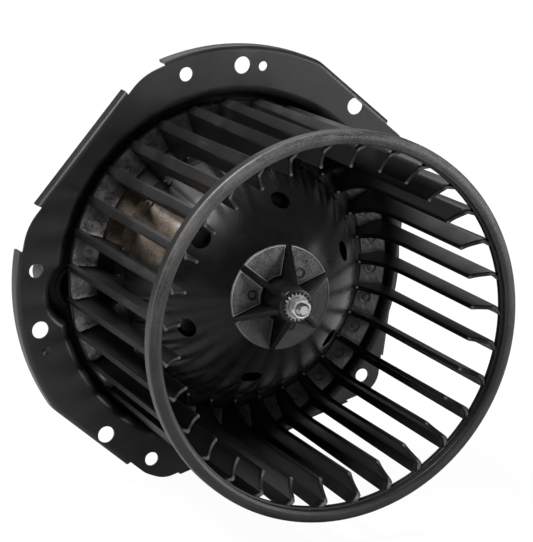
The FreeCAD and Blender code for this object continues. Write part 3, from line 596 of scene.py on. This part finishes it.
def buildRing():
    # crowned front face: a narrow flat between a short inner slope and a wider outer one
    g = ring
    front, step = g["front"], g["bore"] - g["step"]
    profile = roundProfile([
        (g["bore"], front + 0.55, 0.5), (g["bore"] + 1.3, front, 1.6), (g["radius"] - 2.0, front, 2.2),
        (g["radius"], front + 1.15, 1.4), (g["radius"], g["back"], 0.35), (step, g["back"], 0.3),
        (step, front + g["stepDepth"], 0.3), (g["bore"], front + g["stepDepth"] - 0.1, 0.1)], 7)
    points = spin(profile, g["count"])
    faces = gridFaces(g["count"], len(profile), True, True, flip=True)
    return makePiece("wheelRing", points.reshape(-1, 3), faces, "ring", "rotor", "wheel_plastic")


def bladeInner(share):
    # the inner edge from front (share 0) to back (share 1): straight along the cage, then swept in to the hub
    path = np.array(blade["inner"])
    along = np.concatenate([[0], np.cumsum(np.linalg.norm(np.diff(path, axis=0), axis=1))])
    place = share * along[-1]
    return np.interp(place, along, path[:, 0]), np.interp(place, along, path[:, 1])


def oneBlade():
    # a hooked strip on a grid: stations run from the outer edge over the bend to the inner edge, rows run
    # along the axis, and each point of the centreline is moved half the thickness to either side
    g = blade
    half = g["thick"] / 2
    rows = np.concatenate([[0.0, 0.0025, 0.006, 0.015, 0.0225, 0.0265], np.linspace(0.05, 0.60, 11),
                           np.linspace(0.64, 1.0, 31)])
    stations = np.array([0.0, 0.06, 0.14, 0.22, 0.27, 0.32, 0.38, 0.5, 0.66, 0.82, 0.93, 1.0])
    innerR, innerY = bladeInner(rows)
    # the outer edge is sunk into the ring; behind it the edge tapers down to the base plate's rim
    outerY = g["front"] + (g["back"] - g["front"]) * rows
    outerR = np.interp(outerY, g["outY"], g["outR"])
    outerTurn = np.interp(outerY, g["outY"], g["outTurn"])
    radii, angles = [], []
    for station in stations:
        if station <= g["bend"]:
            share = station / g["bend"]
            radii.append(outerR + (g["bendR"] - outerR) * share)
            angles.append(outerTurn + (g["bendDeg"] - outerTurn) * share)
        else:
            share = (station - g["bend"]) / (1 - g["bend"])
            lean = g["bendDeg"] + (g["inDeg"] - g["bendDeg"]) * math.sin(share * math.pi / 2)
            radii.append(g["bendR"] + (innerR - g["bendR"]) * share)
            angles.append(np.full(len(rows), lean))
    radii, angles = np.array(radii), np.radians(np.array(angles))
    # the front end falls back from the ring to the tip, in a rounded shoulder and a straight chamfer
    frontY = np.interp(radii[:, 0], g["frontR"], g["frontY"])
    y = frontY[:, None] + (g["back"] - frontY[:, None]) * rows[None, :]
    inner = ((stations - g["bend"]) / (1 - g["bend"])).clip(0, 1)[:, None] ** 1.5
    y = y * (1 - inner) + innerY[None, :] * inner
    x, z = radii * np.cos(angles), radii * np.sin(angles)
    dx, dz = np.gradient(x, axis=0), np.gradient(z, axis=0)
    alongX, alongZ = dx / np.hypot(dx, dz), dz / np.hypot(dx, dz)
    sideX, sideZ = -alongZ, alongX
    # the first two rows are thinner, which rounds the front end
    thick = np.full(len(rows), half)
    thick[0] -= g["edge"]
    thick[1] -= 0.3 * g["edge"]
    last = len(stations) - 1
    loops = [(x[k] + sideX[k] * thick, y[k], z[k] + sideZ[k] * thick) for k in range(last + 1)]
    for degrees in g["roundEnd"]:
        off, push = math.cos(math.radians(degrees)) * thick, math.sin(math.radians(degrees)) * half * 0.75
        loops.append((x[-1] + sideX[-1] * off + alongX[-1] * push, y[-1],
                      z[-1] + sideZ[-1] * off + alongZ[-1] * push))
    loops += [(x[k] - sideX[k] * thick, y[k], z[k] - sideZ[k] * thick) for k in range(last, -1, -1)]
    points = np.stack([np.stack(c, 1) for c in loops], 1)
    rowCount, columns = points.shape[:2]
    faces = gridFaces(rowCount, columns, False, True)
    # each end is closed by quads from side to side and one face over the rounded inner edge
    for row, turnOver in ((0, True), (rowCount - 1, False)):
        base, far = row * columns, (row + 1) * columns - 1
        cap = [[base + k, base + k + 1, far - 1 - k, far - k] for k in range(last)]
        cap.append([base + last + q for q in range(len(g["roundEnd"]) + 2)])
        faces.extend([f[::-1] for f in cap] if turnOver else cap)
    return points.reshape(-1, 3), faces


def buildBlades():
    everyBlade = around(*oneBlade(), blade["first"], blade["count"])
    return makePiece("wheelBlades", *everyBlade, "wheel", "rotor", "wheel_plastic", 40.0)


foot = {"centre": (52.35, -8.95, 0.55), "sizes": (0.85, 0.75, 0.72)}


def ball(centre, sizes, rows=8, columns=12):
    # a closed ellipsoid with its poles along the axis: sin v cos u, cos v, sin v sin u, times its three sizes
    v = np.linspace(0, math.pi, rows + 1)[1:-1]
    u = np.linspace(0, 2 * math.pi, columns, endpoint=False)
    v, u = np.meshgrid(v, u, indexing="ij")
    grid = np.stack([np.sin(v) * np.cos(u), np.cos(v), np.sin(v) * np.sin(u)], 2).reshape(-1, 3)
    points = np.concatenate([grid, [[0, 1, 0], [0, -1, 0]]]) * np.array(sizes) + np.array(centre)
    faces = gridFaces(rows - 1, columns, False, True)
    top, bottom, lastRow = len(grid), len(grid) + 1, len(grid) - columns
    faces += [[top, (k + 1) % columns, k] for k in range(columns)]
    faces += [[bottom, lastRow + k, lastRow + (k + 1) % columns] for k in range(columns)]
    return points, faces


def buildFeet():
    # the rounded foot at each blade's root, just outside the dome's rim, painted pale as a highlight
    everyFoot = around(*ball(foot["centre"], foot["sizes"]), blade["first"], blade["count"])
    return makePiece("bladeFeet", *everyFoot, "foot", "rotor", "wheel_plastic", 80.0)


pad = {"rows": 44, "columns": 46, "radii": (57.5, 68.3), "shares": (0.075, 0.955), "plateY": 1.0, "sunk": 0.2,
       "floor": 0.12, "height": 0.30, "pitch": 12.7,  # pitch is the way round from one blade to the next
       "pinR": 62.3, "pinShare": 0.62, "flashShare": 0.93, "flashHeight": 0.55, "flashWidth": 0.55,
       "riseAt": 2.2, "riseWidth": 0.25, "waveHeight": 0.05,
       "pin": {"size": 2.15, "deep": 0.42, "slope": 0.09, "rim": 0.16, "rimOff": 0.35, "rimWide": 0.22,
               "dome": 0.34, "domeR": 1.35}}


def padHeight(r, share, seed):
    # height of a plate sector at share 0 to 1 of the way between two blades: a step up from the floor near
    # the first blade, a pin mark and slow waves on it, and a ragged flash along the border at the second
    g = pad
    pinX, pinZ = r - g["pinR"], (share - g["pinShare"]) * math.radians(360.0 / blade["count"]) * g["pinR"]
    pin = pushMark(np.hypot(pinX, pinZ), g["pin"])
    ragged = 0.25 * np.sin(r * 1.9 + seed * 2.3) + 0.18 * np.sin(r * 4.7 + seed)
    short = (g["flashShare"] - share) * g["pitch"] + ragged
    flash = g["flashHeight"] * np.exp(-(short / g["flashWidth"]) ** 2)
    past = share * g["pitch"] - g["riseAt"] - 0.3 * np.sin(r * 0.9 + seed)
    rise = 1 / (1 + np.exp(-past / g["riseWidth"]))
    wave = g["waveHeight"] * np.sin(r * 2.1 + seed) * np.sin(share * 19 + seed * 1.7)
    return g["floor"] + (g["height"] + pin + wave) * rise + flash


def buildPads():
    # spark-eroded sectors of the base plate, one in each gap between blades, with sunk borders
    g = pad
    radii, shares = np.linspace(*g["radii"], g["rows"]), np.linspace(*g["shares"], g["columns"])
    r, share = np.meshgrid(radii, shares, indexing="ij")
    border = np.ones(r.shape, bool)
    border[1:-1, 1:-1] = False
    shapes = []
    for k in range(blade["count"]):
        h = np.where(border, -g["sunk"], padHeight(r, share, k * 1.37))
        angle = np.radians(blade["first"] + (k + share) * 360.0 / blade["count"])
        points = np.stack([r * np.cos(angle), g["plateY"] - h, r * np.sin(angle)], 2).reshape(-1, 3)
        shapes.append((points, gridFaces(g["rows"], g["columns"])))
    return makePiece("platePads", *joined(shapes), "pad", "rotor", "wheel_plastic", 60.0)


shell = {"perBlade": 18, "fluteDepth": 1.0, "fluteSharp": 4.0, "fluteShift": 0.06, "fluteEnd": 0.60,
         "fluteWay": (-0.87, 0.5), "under": (-1.75, 1.35),
         "plate": [(69.0, 3.0, 0.5), (69.0, 1.0, 0.6), (56.6, 1.0, 1.6), (53.1, -6.9, 0.5),
                   (51.3, -8.1, 0.5)],
         "flank": [(49.8, -9.5), (48.6, -12.6), (46.9, -16.5), (44.8, -20.9), (42.2, -25.5), (39.1, -30.2),
                   (35.6, -34.6), (32.1, -38.5), (28.4, -42.0), (24.6, -45.2), (20.8, -47.9)],
         "inside": [(49.9, -6.0), (51.8, 0.4), (54.4, 3.0)]}
airHole = {"count": 6, "r": 35.6, "y": -34.5, "lean": 47.0, "radius": 4.1, "reach": 9.0}


def buildShell():
    # base plate, inner wall and dome are one closed profile carried round the axis; below each blade a flute
    # sinks along fluteWay by its depth times (a raised cosine wave) ** fluteSharp, and fades down the flank
    g = shell
    flank = np.array(g["flank"])
    coarse, dense = np.linspace(0, 1, len(flank)), np.linspace(0, 1, 46)
    fine = np.stack([np.interp(dense, coarse, flank[:, 0]), np.interp(dense, coarse, flank[:, 1])], 1)
    for _ in range(3):
        fine[1:-1] = (fine[:-2] + 2 * fine[1:-1] + fine[2:]) / 4
    # the rim's rounding ends past the flank's first point, so its last three points give way to the flank
    lead = roundProfile(g["plate"] + [(*g["flank"][0], 0.3), (*g["flank"][1], 0.0)], 5)[:-3]
    profile = np.concatenate([lead, fine[1:], flank[::-1] + np.array(g["under"]), g["inside"]])
    rim = int(np.argmin(np.hypot(*(lead - flank[0]).T)))
    flankFrom, flankTo = len(lead), len(lead) + len(fine) - 1
    depth = np.zeros(len(profile))
    depth[rim:flankFrom] = g["fluteDepth"]
    fade = np.linspace(0, 1, flankTo - flankFrom) / g["fluteEnd"]
    depth[flankFrom:flankTo] = g["fluteDepth"] * np.clip(1 - fade, 0, 1) ** 1.2
    count = blade["count"] * g["perBlade"]
    turns = np.arange(count) / g["perBlade"] - g["fluteShift"]
    wave = (0.5 + 0.5 * np.cos(2 * np.pi * turns)) ** g["fluteSharp"]
    inward = spin(np.array([g["fluteWay"]]), count, blade["first"])
    points = spin(profile, count, blade["first"]) + (wave[:, None] * depth[None, :])[:, :, None] * inward
    faces = gridFaces(count, len(profile), True, True, flip=True)
    return makePiece("wheelHub", points.reshape(-1, 3), faces, "dome", "rotor", "wheel_plastic", 35.0)


def cutAirHoles(piece):
    # six round holes square to the flank, between the ribs
    g = airHole
    lean = math.radians(g["lean"])
    middle = np.array([g["r"], g["y"], 0.0])
    reach = g["reach"] * np.array([math.cos(lean), -math.sin(lean), 0.0])
    ends = np.array([middle + reach, middle - reach])
    turns = [hub["ribFirst"] + k * 360.0 / g["count"] for k in range(g["count"])]
    cutHoles(piece, *joined([bar(g["radius"], *turned(ends, turn)) for turn in turns]), 35.0)


disc = {"innerR": 8.7, "level": 0.04, "bead": 0.26, "beadIn": 0.34, "beadWidth": 0.24, "sunk": 0.6,
        "ribGap": 0.2, "sectorWidth": 12.0,
        # in these sectors: the kind of mark, its radius and its turn from the sector's first rib
        "marks": {0: [("pin", 11.9, 27.0), ("pip", 17.2, 31.0)],
                  2: [("pin", 11.9, 30.0), ("pip", 17.2, 31.0)], 4: [("pin", 11.9, 30.0)]},
        "pin": {"size": 2.15, "deep": 0.5, "slope": 0.07, "rim": 0.2, "rimOff": 0.3, "rimWide": 0.16,
                "dome": 0.3, "domeR": 1.333},
        "pip": {"size": 0.55, "deep": 0.35, "slope": 0.07, "rim": 0.2, "rimOff": 0.3, "rimWide": 0.16,
                "dome": 0.0, "domeR": 1.0}}


def buildHubDisc():
    # raised rough sectors between the ribs, on a grid of radius and share of the turn that is dense at the
    # borders; a narrow bead runs beadIn inside each border, and the border itself is sunk into the disc
    g, outerR, sector = disc, hub["discR"], 2 * math.pi / hub["ribs"]
    side = hub["ribThick"] / 2 + g["ribGap"]
    near = np.array([0.0, 0.03, 0.1, 0.18, 0.27, 0.38, 0.52, 0.7])
    between = np.linspace(g["innerR"] + 0.9, outerR - 0.9, 58)
    radial = np.concatenate([g["innerR"] + near, between, outerR - near[::-1]])
    width = g["sectorWidth"]
    share = np.concatenate([near, np.linspace(0.9, width - 0.9, 70), width - near[::-1]]) / width
    r, q = np.meshgrid(radial, share, indexing="ij")
    low = np.arcsin(side / r)
    a = low + (sector - 2 * low) * q
    x, z = r * np.cos(a), r * np.sin(a)
    across = np.minimum(r * np.sin(a), r * np.sin(sector - a)) - side
    inside = np.minimum(np.minimum(outerR - r, across), (r - g["innerR"]) * 1.5)
    plain = g["level"] + g["bead"] * np.exp(-((inside - g["beadIn"]) / g["beadWidth"]) ** 2)
    plain = np.where(inside < 0.02, -g["sunk"], plain)
    shapes = []
    for k in range(hub["ribs"]):
        h = plain
        for kind, markR, markDeg in g["marks"].get(k, []):
            markX, markZ = markR * math.cos(math.radians(markDeg)), markR * math.sin(math.radians(markDeg))
            h = h + pushMark(np.hypot(x - markX, z - markZ), g[kind])
        points = np.stack([x, hub["discY"] - h, z], 2).reshape(-1, 3)
        faces = gridFaces(len(radial), len(share), flip=True)
        shapes.append((turned(points, hub["ribFirst"] + k * 360.0 / hub["ribs"]), faces))
    return makePiece("hubSectors", *joined(shapes), "disc", "rotor", "wheel_plastic", 60.0)


def buildHubCore():
    # flat disc floor and tapered boss with its bore: one closed profile carried round the axis
    g = hub
    count, floorY, rimR = 128, g["discY"] + g["floorDrop"], g["discR"] + 0.05
    profile = roundProfile([
        (rimR, g["foot"], 0), (rimR, floorY, 0.2), (g["bossBaseR"] + 0.1, floorY, 0.7),
        (g["bossTopR"], g["bossTop"] + 0.1, 0.5), (g["bossTopR"] - g["bossBevel"], g["bossTop"], 0.1),
        (g["boreR"], g["bossTop"], 0.1), (g["boreR"], g["foot"], 0)], 5)
    points = spin(profile, count)
    return makePiece("hubBoss", points.reshape(-1, 3), gridFaces(count, len(profile), True, True, flip=True),
                     "dome", "rotor", "wheel_plastic")


rib = {"rimR": 20.75, "rimHeight": 0.35, "crestR": 20.2, "crestHeight": 0.75, "topR": 7.4, "topY": -61.3,
       "bossR": 5.0, "bossY": -62.6, "sunk": 1.0,
       "crest": [(-1, 0.25), (-0.94, 0.10), (-0.75, 0.0), (0, -0.03), (0.75, 0.0), (0.94, 0.10), (1, 0.25)]}


def buildRibs():
    # six gussets: the side outline of a slim wedge from the disc's rim up to the boss is repeated across the
    # thickness, and crest gives how far the upper line drops at each share of half the thickness
    g = rib
    outline = np.array([
        (g["bossR"], hub["discY"] + g["sunk"]), (g["rimR"], hub["discY"] + g["sunk"]),
        (g["rimR"], hub["discY"] - g["rimHeight"]), (g["crestR"], hub["discY"] - g["crestHeight"]),
        (g["topR"], g["topY"]), (g["bossR"], g["bossY"])])
    rows = []
    for share, drop in g["crest"]:
        y = outline[:, 1].copy()
        y[2:] += drop
        rows.append(np.stack([outline[:, 0], y, np.full(len(outline), share * hub["ribThick"] / 2)], 1))
    columns = len(outline)
    faces = gridFaces(len(rows), columns, False, True)
    faces.append(list(range(columns)))
    faces.append([(len(rows) - 1) * columns + q for q in reversed(range(columns))])
    everyRib = around(np.concatenate(rows), faces, hub["ribFirst"], hub["ribs"])
    return makePiece("hubRibs", *everyRib, "dome", "rotor", "wheel_plastic", 30.0)


buildRing()
buildBlades()
buildFeet()
buildPads()
wheelHub = buildShell()
cutAirHoles(wheelHub)
buildHubCore()
buildHubDisc()
buildRibs()
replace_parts(wheelHub, "blower_wheel")
print("wheel made")


# shaft end, nut and toothed washer

shaftEnd = {"threadR": 2.5, "threadRoot": 2.08, "pitch": 0.8, "tip": -71.6, "tipR": 1.75, "shoulder": -62.0,
            "back": 52.0, "shaftR": 4.0, "count": 64,
            "ridge": (0.25, 0.40, 0.65, 0.75)}  # along one pitch: the crest's two ends, then the root's
nut = {"acrossFlats": 7.2, "turn": 12.0, "front": -69.4, "back": -65.4, "boreR": 2.52, "sinkR": 2.95,
       "faceR": 3.45, "middleR": 3.75, "cornerR": 4.16, "count": 144}
washer = {"boreR": 2.6, "ringR": 4.75, "thick": 0.55, "teeth": 20, "firstTooth": 6.0, "halfTooth": 0.34,
          "toothRows": [(4.6, 0.0), (5.15, 0.16), (5.6, 0.22)],  # radius and lift of the leading corner
          "leading": (0.65, 0.45), "trailing": (0.25, 0.5)}  # the tooth's faces, measured from the boss


def buildShaft():
    # a turned bar whose thread is a row of ridges, one pitch apart, close enough to a helix at this size
    g = shaftEnd
    line = [(0.0, g["tip"]), (g["tipR"], g["tip"]), (g["threadRoot"], g["tip"] + 0.35)]
    y = g["tip"] + 0.45
    ridgeR = (g["threadR"], g["threadR"], g["threadRoot"], g["threadRoot"])
    while y < g["shoulder"] - g["pitch"]:
        line += [(r, y + along) for r, along in zip(ridgeR, g["ridge"])]
        y += g["pitch"]
    line += [(g["threadR"], g["shoulder"] - 0.4), (g["threadR"], g["shoulder"]),
             (g["shaftR"] - 0.4, g["shoulder"]), (g["shaftR"], g["shoulder"] + 0.4),
             (g["shaftR"], g["back"] - 0.6), (g["shaftR"] - 0.6, g["back"]), (0.0, g["back"])]
    points = spin(np.array(line), g["count"])
    faces = gridFaces(g["count"], len(line), True, False, flip=True)
    piece = makePiece("threadedShaft", points.reshape(-1, 3), faces, "shaft", "rotor", slots["shaft"], 30.0)
    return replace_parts(piece, "shaft")


def buildNut():
    # rings along the axis whose radius is the hexagon's, half the width across flats / cos(turn from the
    # flat's middle), but no more than the chamfer's cone allows; the bore is countersunk at the front
    g, count = nut, nut["count"]
    t = np.arange(count) * 2 * np.pi / count
    hexagon = g["acrossFlats"] / 2 / np.cos((t - math.radians(g["turn"])) % (math.pi / 3) - math.pi / 6)
    front, back = g["front"], g["back"]
    bore = [(g["boreR"], front + 0.75), (g["sinkR"] - 0.1, front + 0.12), (g["sinkR"], front)]
    cone = [(g["faceR"], front), (g["middleR"], front + 0.18), (g["cornerR"], front + 0.5),
            (g["cornerR"], back - 0.5), (g["middleR"], back - 0.18), (g["faceR"], back)]
    rings = [(np.full(count, r), y) for r, y in bore]
    rings += [(np.minimum(hexagon, r), y) for r, y in cone]
    rings.append((np.full(count, g["boreR"]), back))
    points = np.stack([np.stack([r * np.cos(t), np.full(count, y), r * np.sin(t)], 1) for r, y in rings], 1)
    faces = gridFaces(count, len(rings), True, True, flip=True)
    piece = makePiece("hexNut", points.reshape(-1, 3), faces, "bright", "rotor", slots["shaft_nut"], 28.0)
    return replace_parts(piece, "shaft_nut")


def buildWasher():
    # a thin ring with small teeth round its rim, each twisted so that its leading corner stands up
    g = washer
    seat, crown = hub["bossTop"], hub["bossTop"] - g["thick"]
    profile = np.array([(g["boreR"], seat), (g["boreR"], crown), (g["ringR"], crown), (g["ringR"], seat)])
    plain = (spin(profile, 96).reshape(-1, 3), gridFaces(96, len(profile), True, True))
    rows = []
    (leadTop, leadFoot), (trailFoot, trailTop), side = g["leading"], g["trailing"], g["halfTooth"]
    for r, lift in g["toothRows"]:
        rows.append([(r, seat - leadTop - lift, side), (r, seat - leadFoot, side),
                     (r, seat - trailFoot, -side), (r, seat - trailTop, -side)])
    faces = gridFaces(3, 4, False, True) + [[3, 2, 1, 0], [8, 9, 10, 11]]
    teeth = around(np.array(rows).reshape(-1, 3), faces, g["firstTooth"], g["teeth"])
    piece = makePiece("toothWasher", *joined([plain, teeth]), "washer", "rotor", slots["lock_washer"], 25.0)
    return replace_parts(piece, "lock_washer")


buildShaft()
buildNut()
buildWasher()
print("shaft end made")


# smooth copies of the housing's solids

smoothCopy("mounting_flange", "flangeSheet", "paint", "housing")
smoothCopy("motor_can", "motorCan", "zinc", "housing")
smoothCopy("end_cap", "rearCap", "zinc", "housing")
smoothCopy("mount_ring", "clampRing", "zinc", "housing")
smoothCopy("cooling_duct", "airElbow", "duct", "housing")
print("housing made")


# studio

studio = {"world": 0.035, "whiteInGloss": 0.06, "floorDrop": 0.0005, "floorTone": 0.5, "floorGlow": 1.12,
          "floorShare": 0.86, "floorHalf": 6.0, "target": (0, -0.05, 0)}
lamps = {
    "keyTopLeft": {"place": (-0.66, 0.14, 1.30), "size": (0.6, 0.6), "power": 34.0},
    "rightSoft": {"place": (1.35, -0.55, 0.15), "size": (0.6, 1.0), "power": 6.3},
    "frontRight": {"place": (0.85, -1.10, 0.15), "size": (0.4, 0.4), "power": 6.5},
    "leftRim": {"place": (-1.12, 0.40, -0.02), "size": (0.35, 0.5), "power": 4.0, "target": (0, -0.03, 0),
                "colour": (1.0, 0.94, 0.87)},
    "backTop": {"place": (0.4, 0.9, 1.0), "size": (0.8, 0.8), "power": 5.0},
    "frontFill": {"place": (-0.5, -1.45, 0.1), "size": (0.8, 0.8), "power": 1.2}}
photoCamera = {"turn": -23.4288, "rise": 13.8055, "place": (-0.447185, -1.067223, 0.283781),
               "focalPixels": 2965.16, "widthPixels": 533, "sensor": 36.0}


def backgroundRays(tree):
    # 1 for the rays of the camera or through clear glass; glossy rays count for a share, as black gloss in a
    # white room would turn grey
    kinds = ("Is Camera Ray", "Is Transmission Ray", "Is Glossy Ray")
    camera, clear, glossy = (tree.add("ShaderNodeLightPath", output=kind) for kind in kinds)
    return (camera + clear + glossy * studio["whiteInGloss"]).clamp()


def buildWorld():
    # a dim even light, with plain white behind the object for the rays that show the background
    world = bpy.data.worlds.new("studioWorld")
    bpy.context.scene.world = world
    world.use_nodes = True
    tree = NodeTree(world.node_tree)
    light = tree.add("ShaderNodeBackground", {}, [(1, 1, 1, 1), studio["world"]])
    white = tree.add("ShaderNodeBackground", {}, [(1, 1, 1, 1), 1.0])
    both = tree.add("ShaderNodeMixShader", {}, [backgroundRays(tree), light, white])
    tree.close("ShaderNodeOutputWorld", both)


def buildFloor():
    # grey paper that takes the object's shadow, lifted to near white for the rays that show the background
    g = studio
    low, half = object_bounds()[0].z - g["floorDrop"], g["floorHalf"]
    corners = [(-half, -half, low), (half, -half, low), (half, half, low), (-half, half, low)]
    mesh = bpy.data.meshes.new("studioFloor")
    mesh.from_pydata(corners, [], [(0, 1, 2, 3)])
    floor = bpy.data.objects.new("studioFloor", mesh)
    bpy.context.scene.collection.objects.link(floor)
    s = Shader("floorPaper")
    paper = s.add("ShaderNodeBsdfDiffuse", {}, [(g["floorTone"],) * 3 + (1,)])
    glow = s.add("ShaderNodeEmission", {}, [(1, 1, 1, 1), g["floorGlow"]])
    share = backgroundRays(s) * g["floorShare"]
    s.close("ShaderNodeOutputMaterial", s.add("ShaderNodeMixShader", {}, [share, paper, glow]))
    mesh.materials.append(s.material)


def buildLamp(name, lamp):
    data = bpy.data.lights.new(name, "AREA")
    data.shape = "RECTANGLE"
    data.size, data.size_y = lamp["size"]
    data.energy = lamp["power"]
    data.color = lamp.get("colour", (1, 1, 1))
    holder = bpy.data.objects.new(name, data)
    bpy.context.scene.collection.objects.link(holder)
    holder.location = lamp["place"]
    aim = Vector(lamp.get("target", studio["target"])) - Vector(lamp["place"])
    holder.rotation_mode = "QUATERNION"
    holder.rotation_quaternion = aim.to_track_quat("-Z", "Y")


def buildCamera():
    # the photo's viewing angle: turned to the left of the axis and raised above it
    g = photoCamera
    turn, rise = math.radians(g["turn"]), math.radians(g["rise"])
    back = Vector((math.sin(turn) * math.cos(rise), -math.cos(turn) * math.cos(rise), math.sin(rise)))
    right = Vector((0, 0, 1)).cross(back).normalized()
    data = bpy.data.cameras.new("photoCamera")
    camera = bpy.data.objects.new("photoCamera", data)
    bpy.context.scene.collection.objects.link(camera)
    data.sensor_fit, data.sensor_width = "HORIZONTAL", g["sensor"]
    data.lens = g["focalPixels"] / g["widthPixels"] * g["sensor"]
    data.clip_start, data.clip_end = 0.05, 20.0
    camera.location = g["place"]
    camera.rotation_mode = "QUATERNION"
    camera.rotation_quaternion = Matrix((right, back.cross(right), back)).transposed().to_quaternion()
    bpy.context.scene.camera = camera
    bpy.context.scene.view_settings.view_transform = "Standard"


buildWorld()
buildFloor()
for lampName, lampSettings in lamps.items():
    buildLamp(lampName, lampSettings)
buildCamera()
print("studio made")
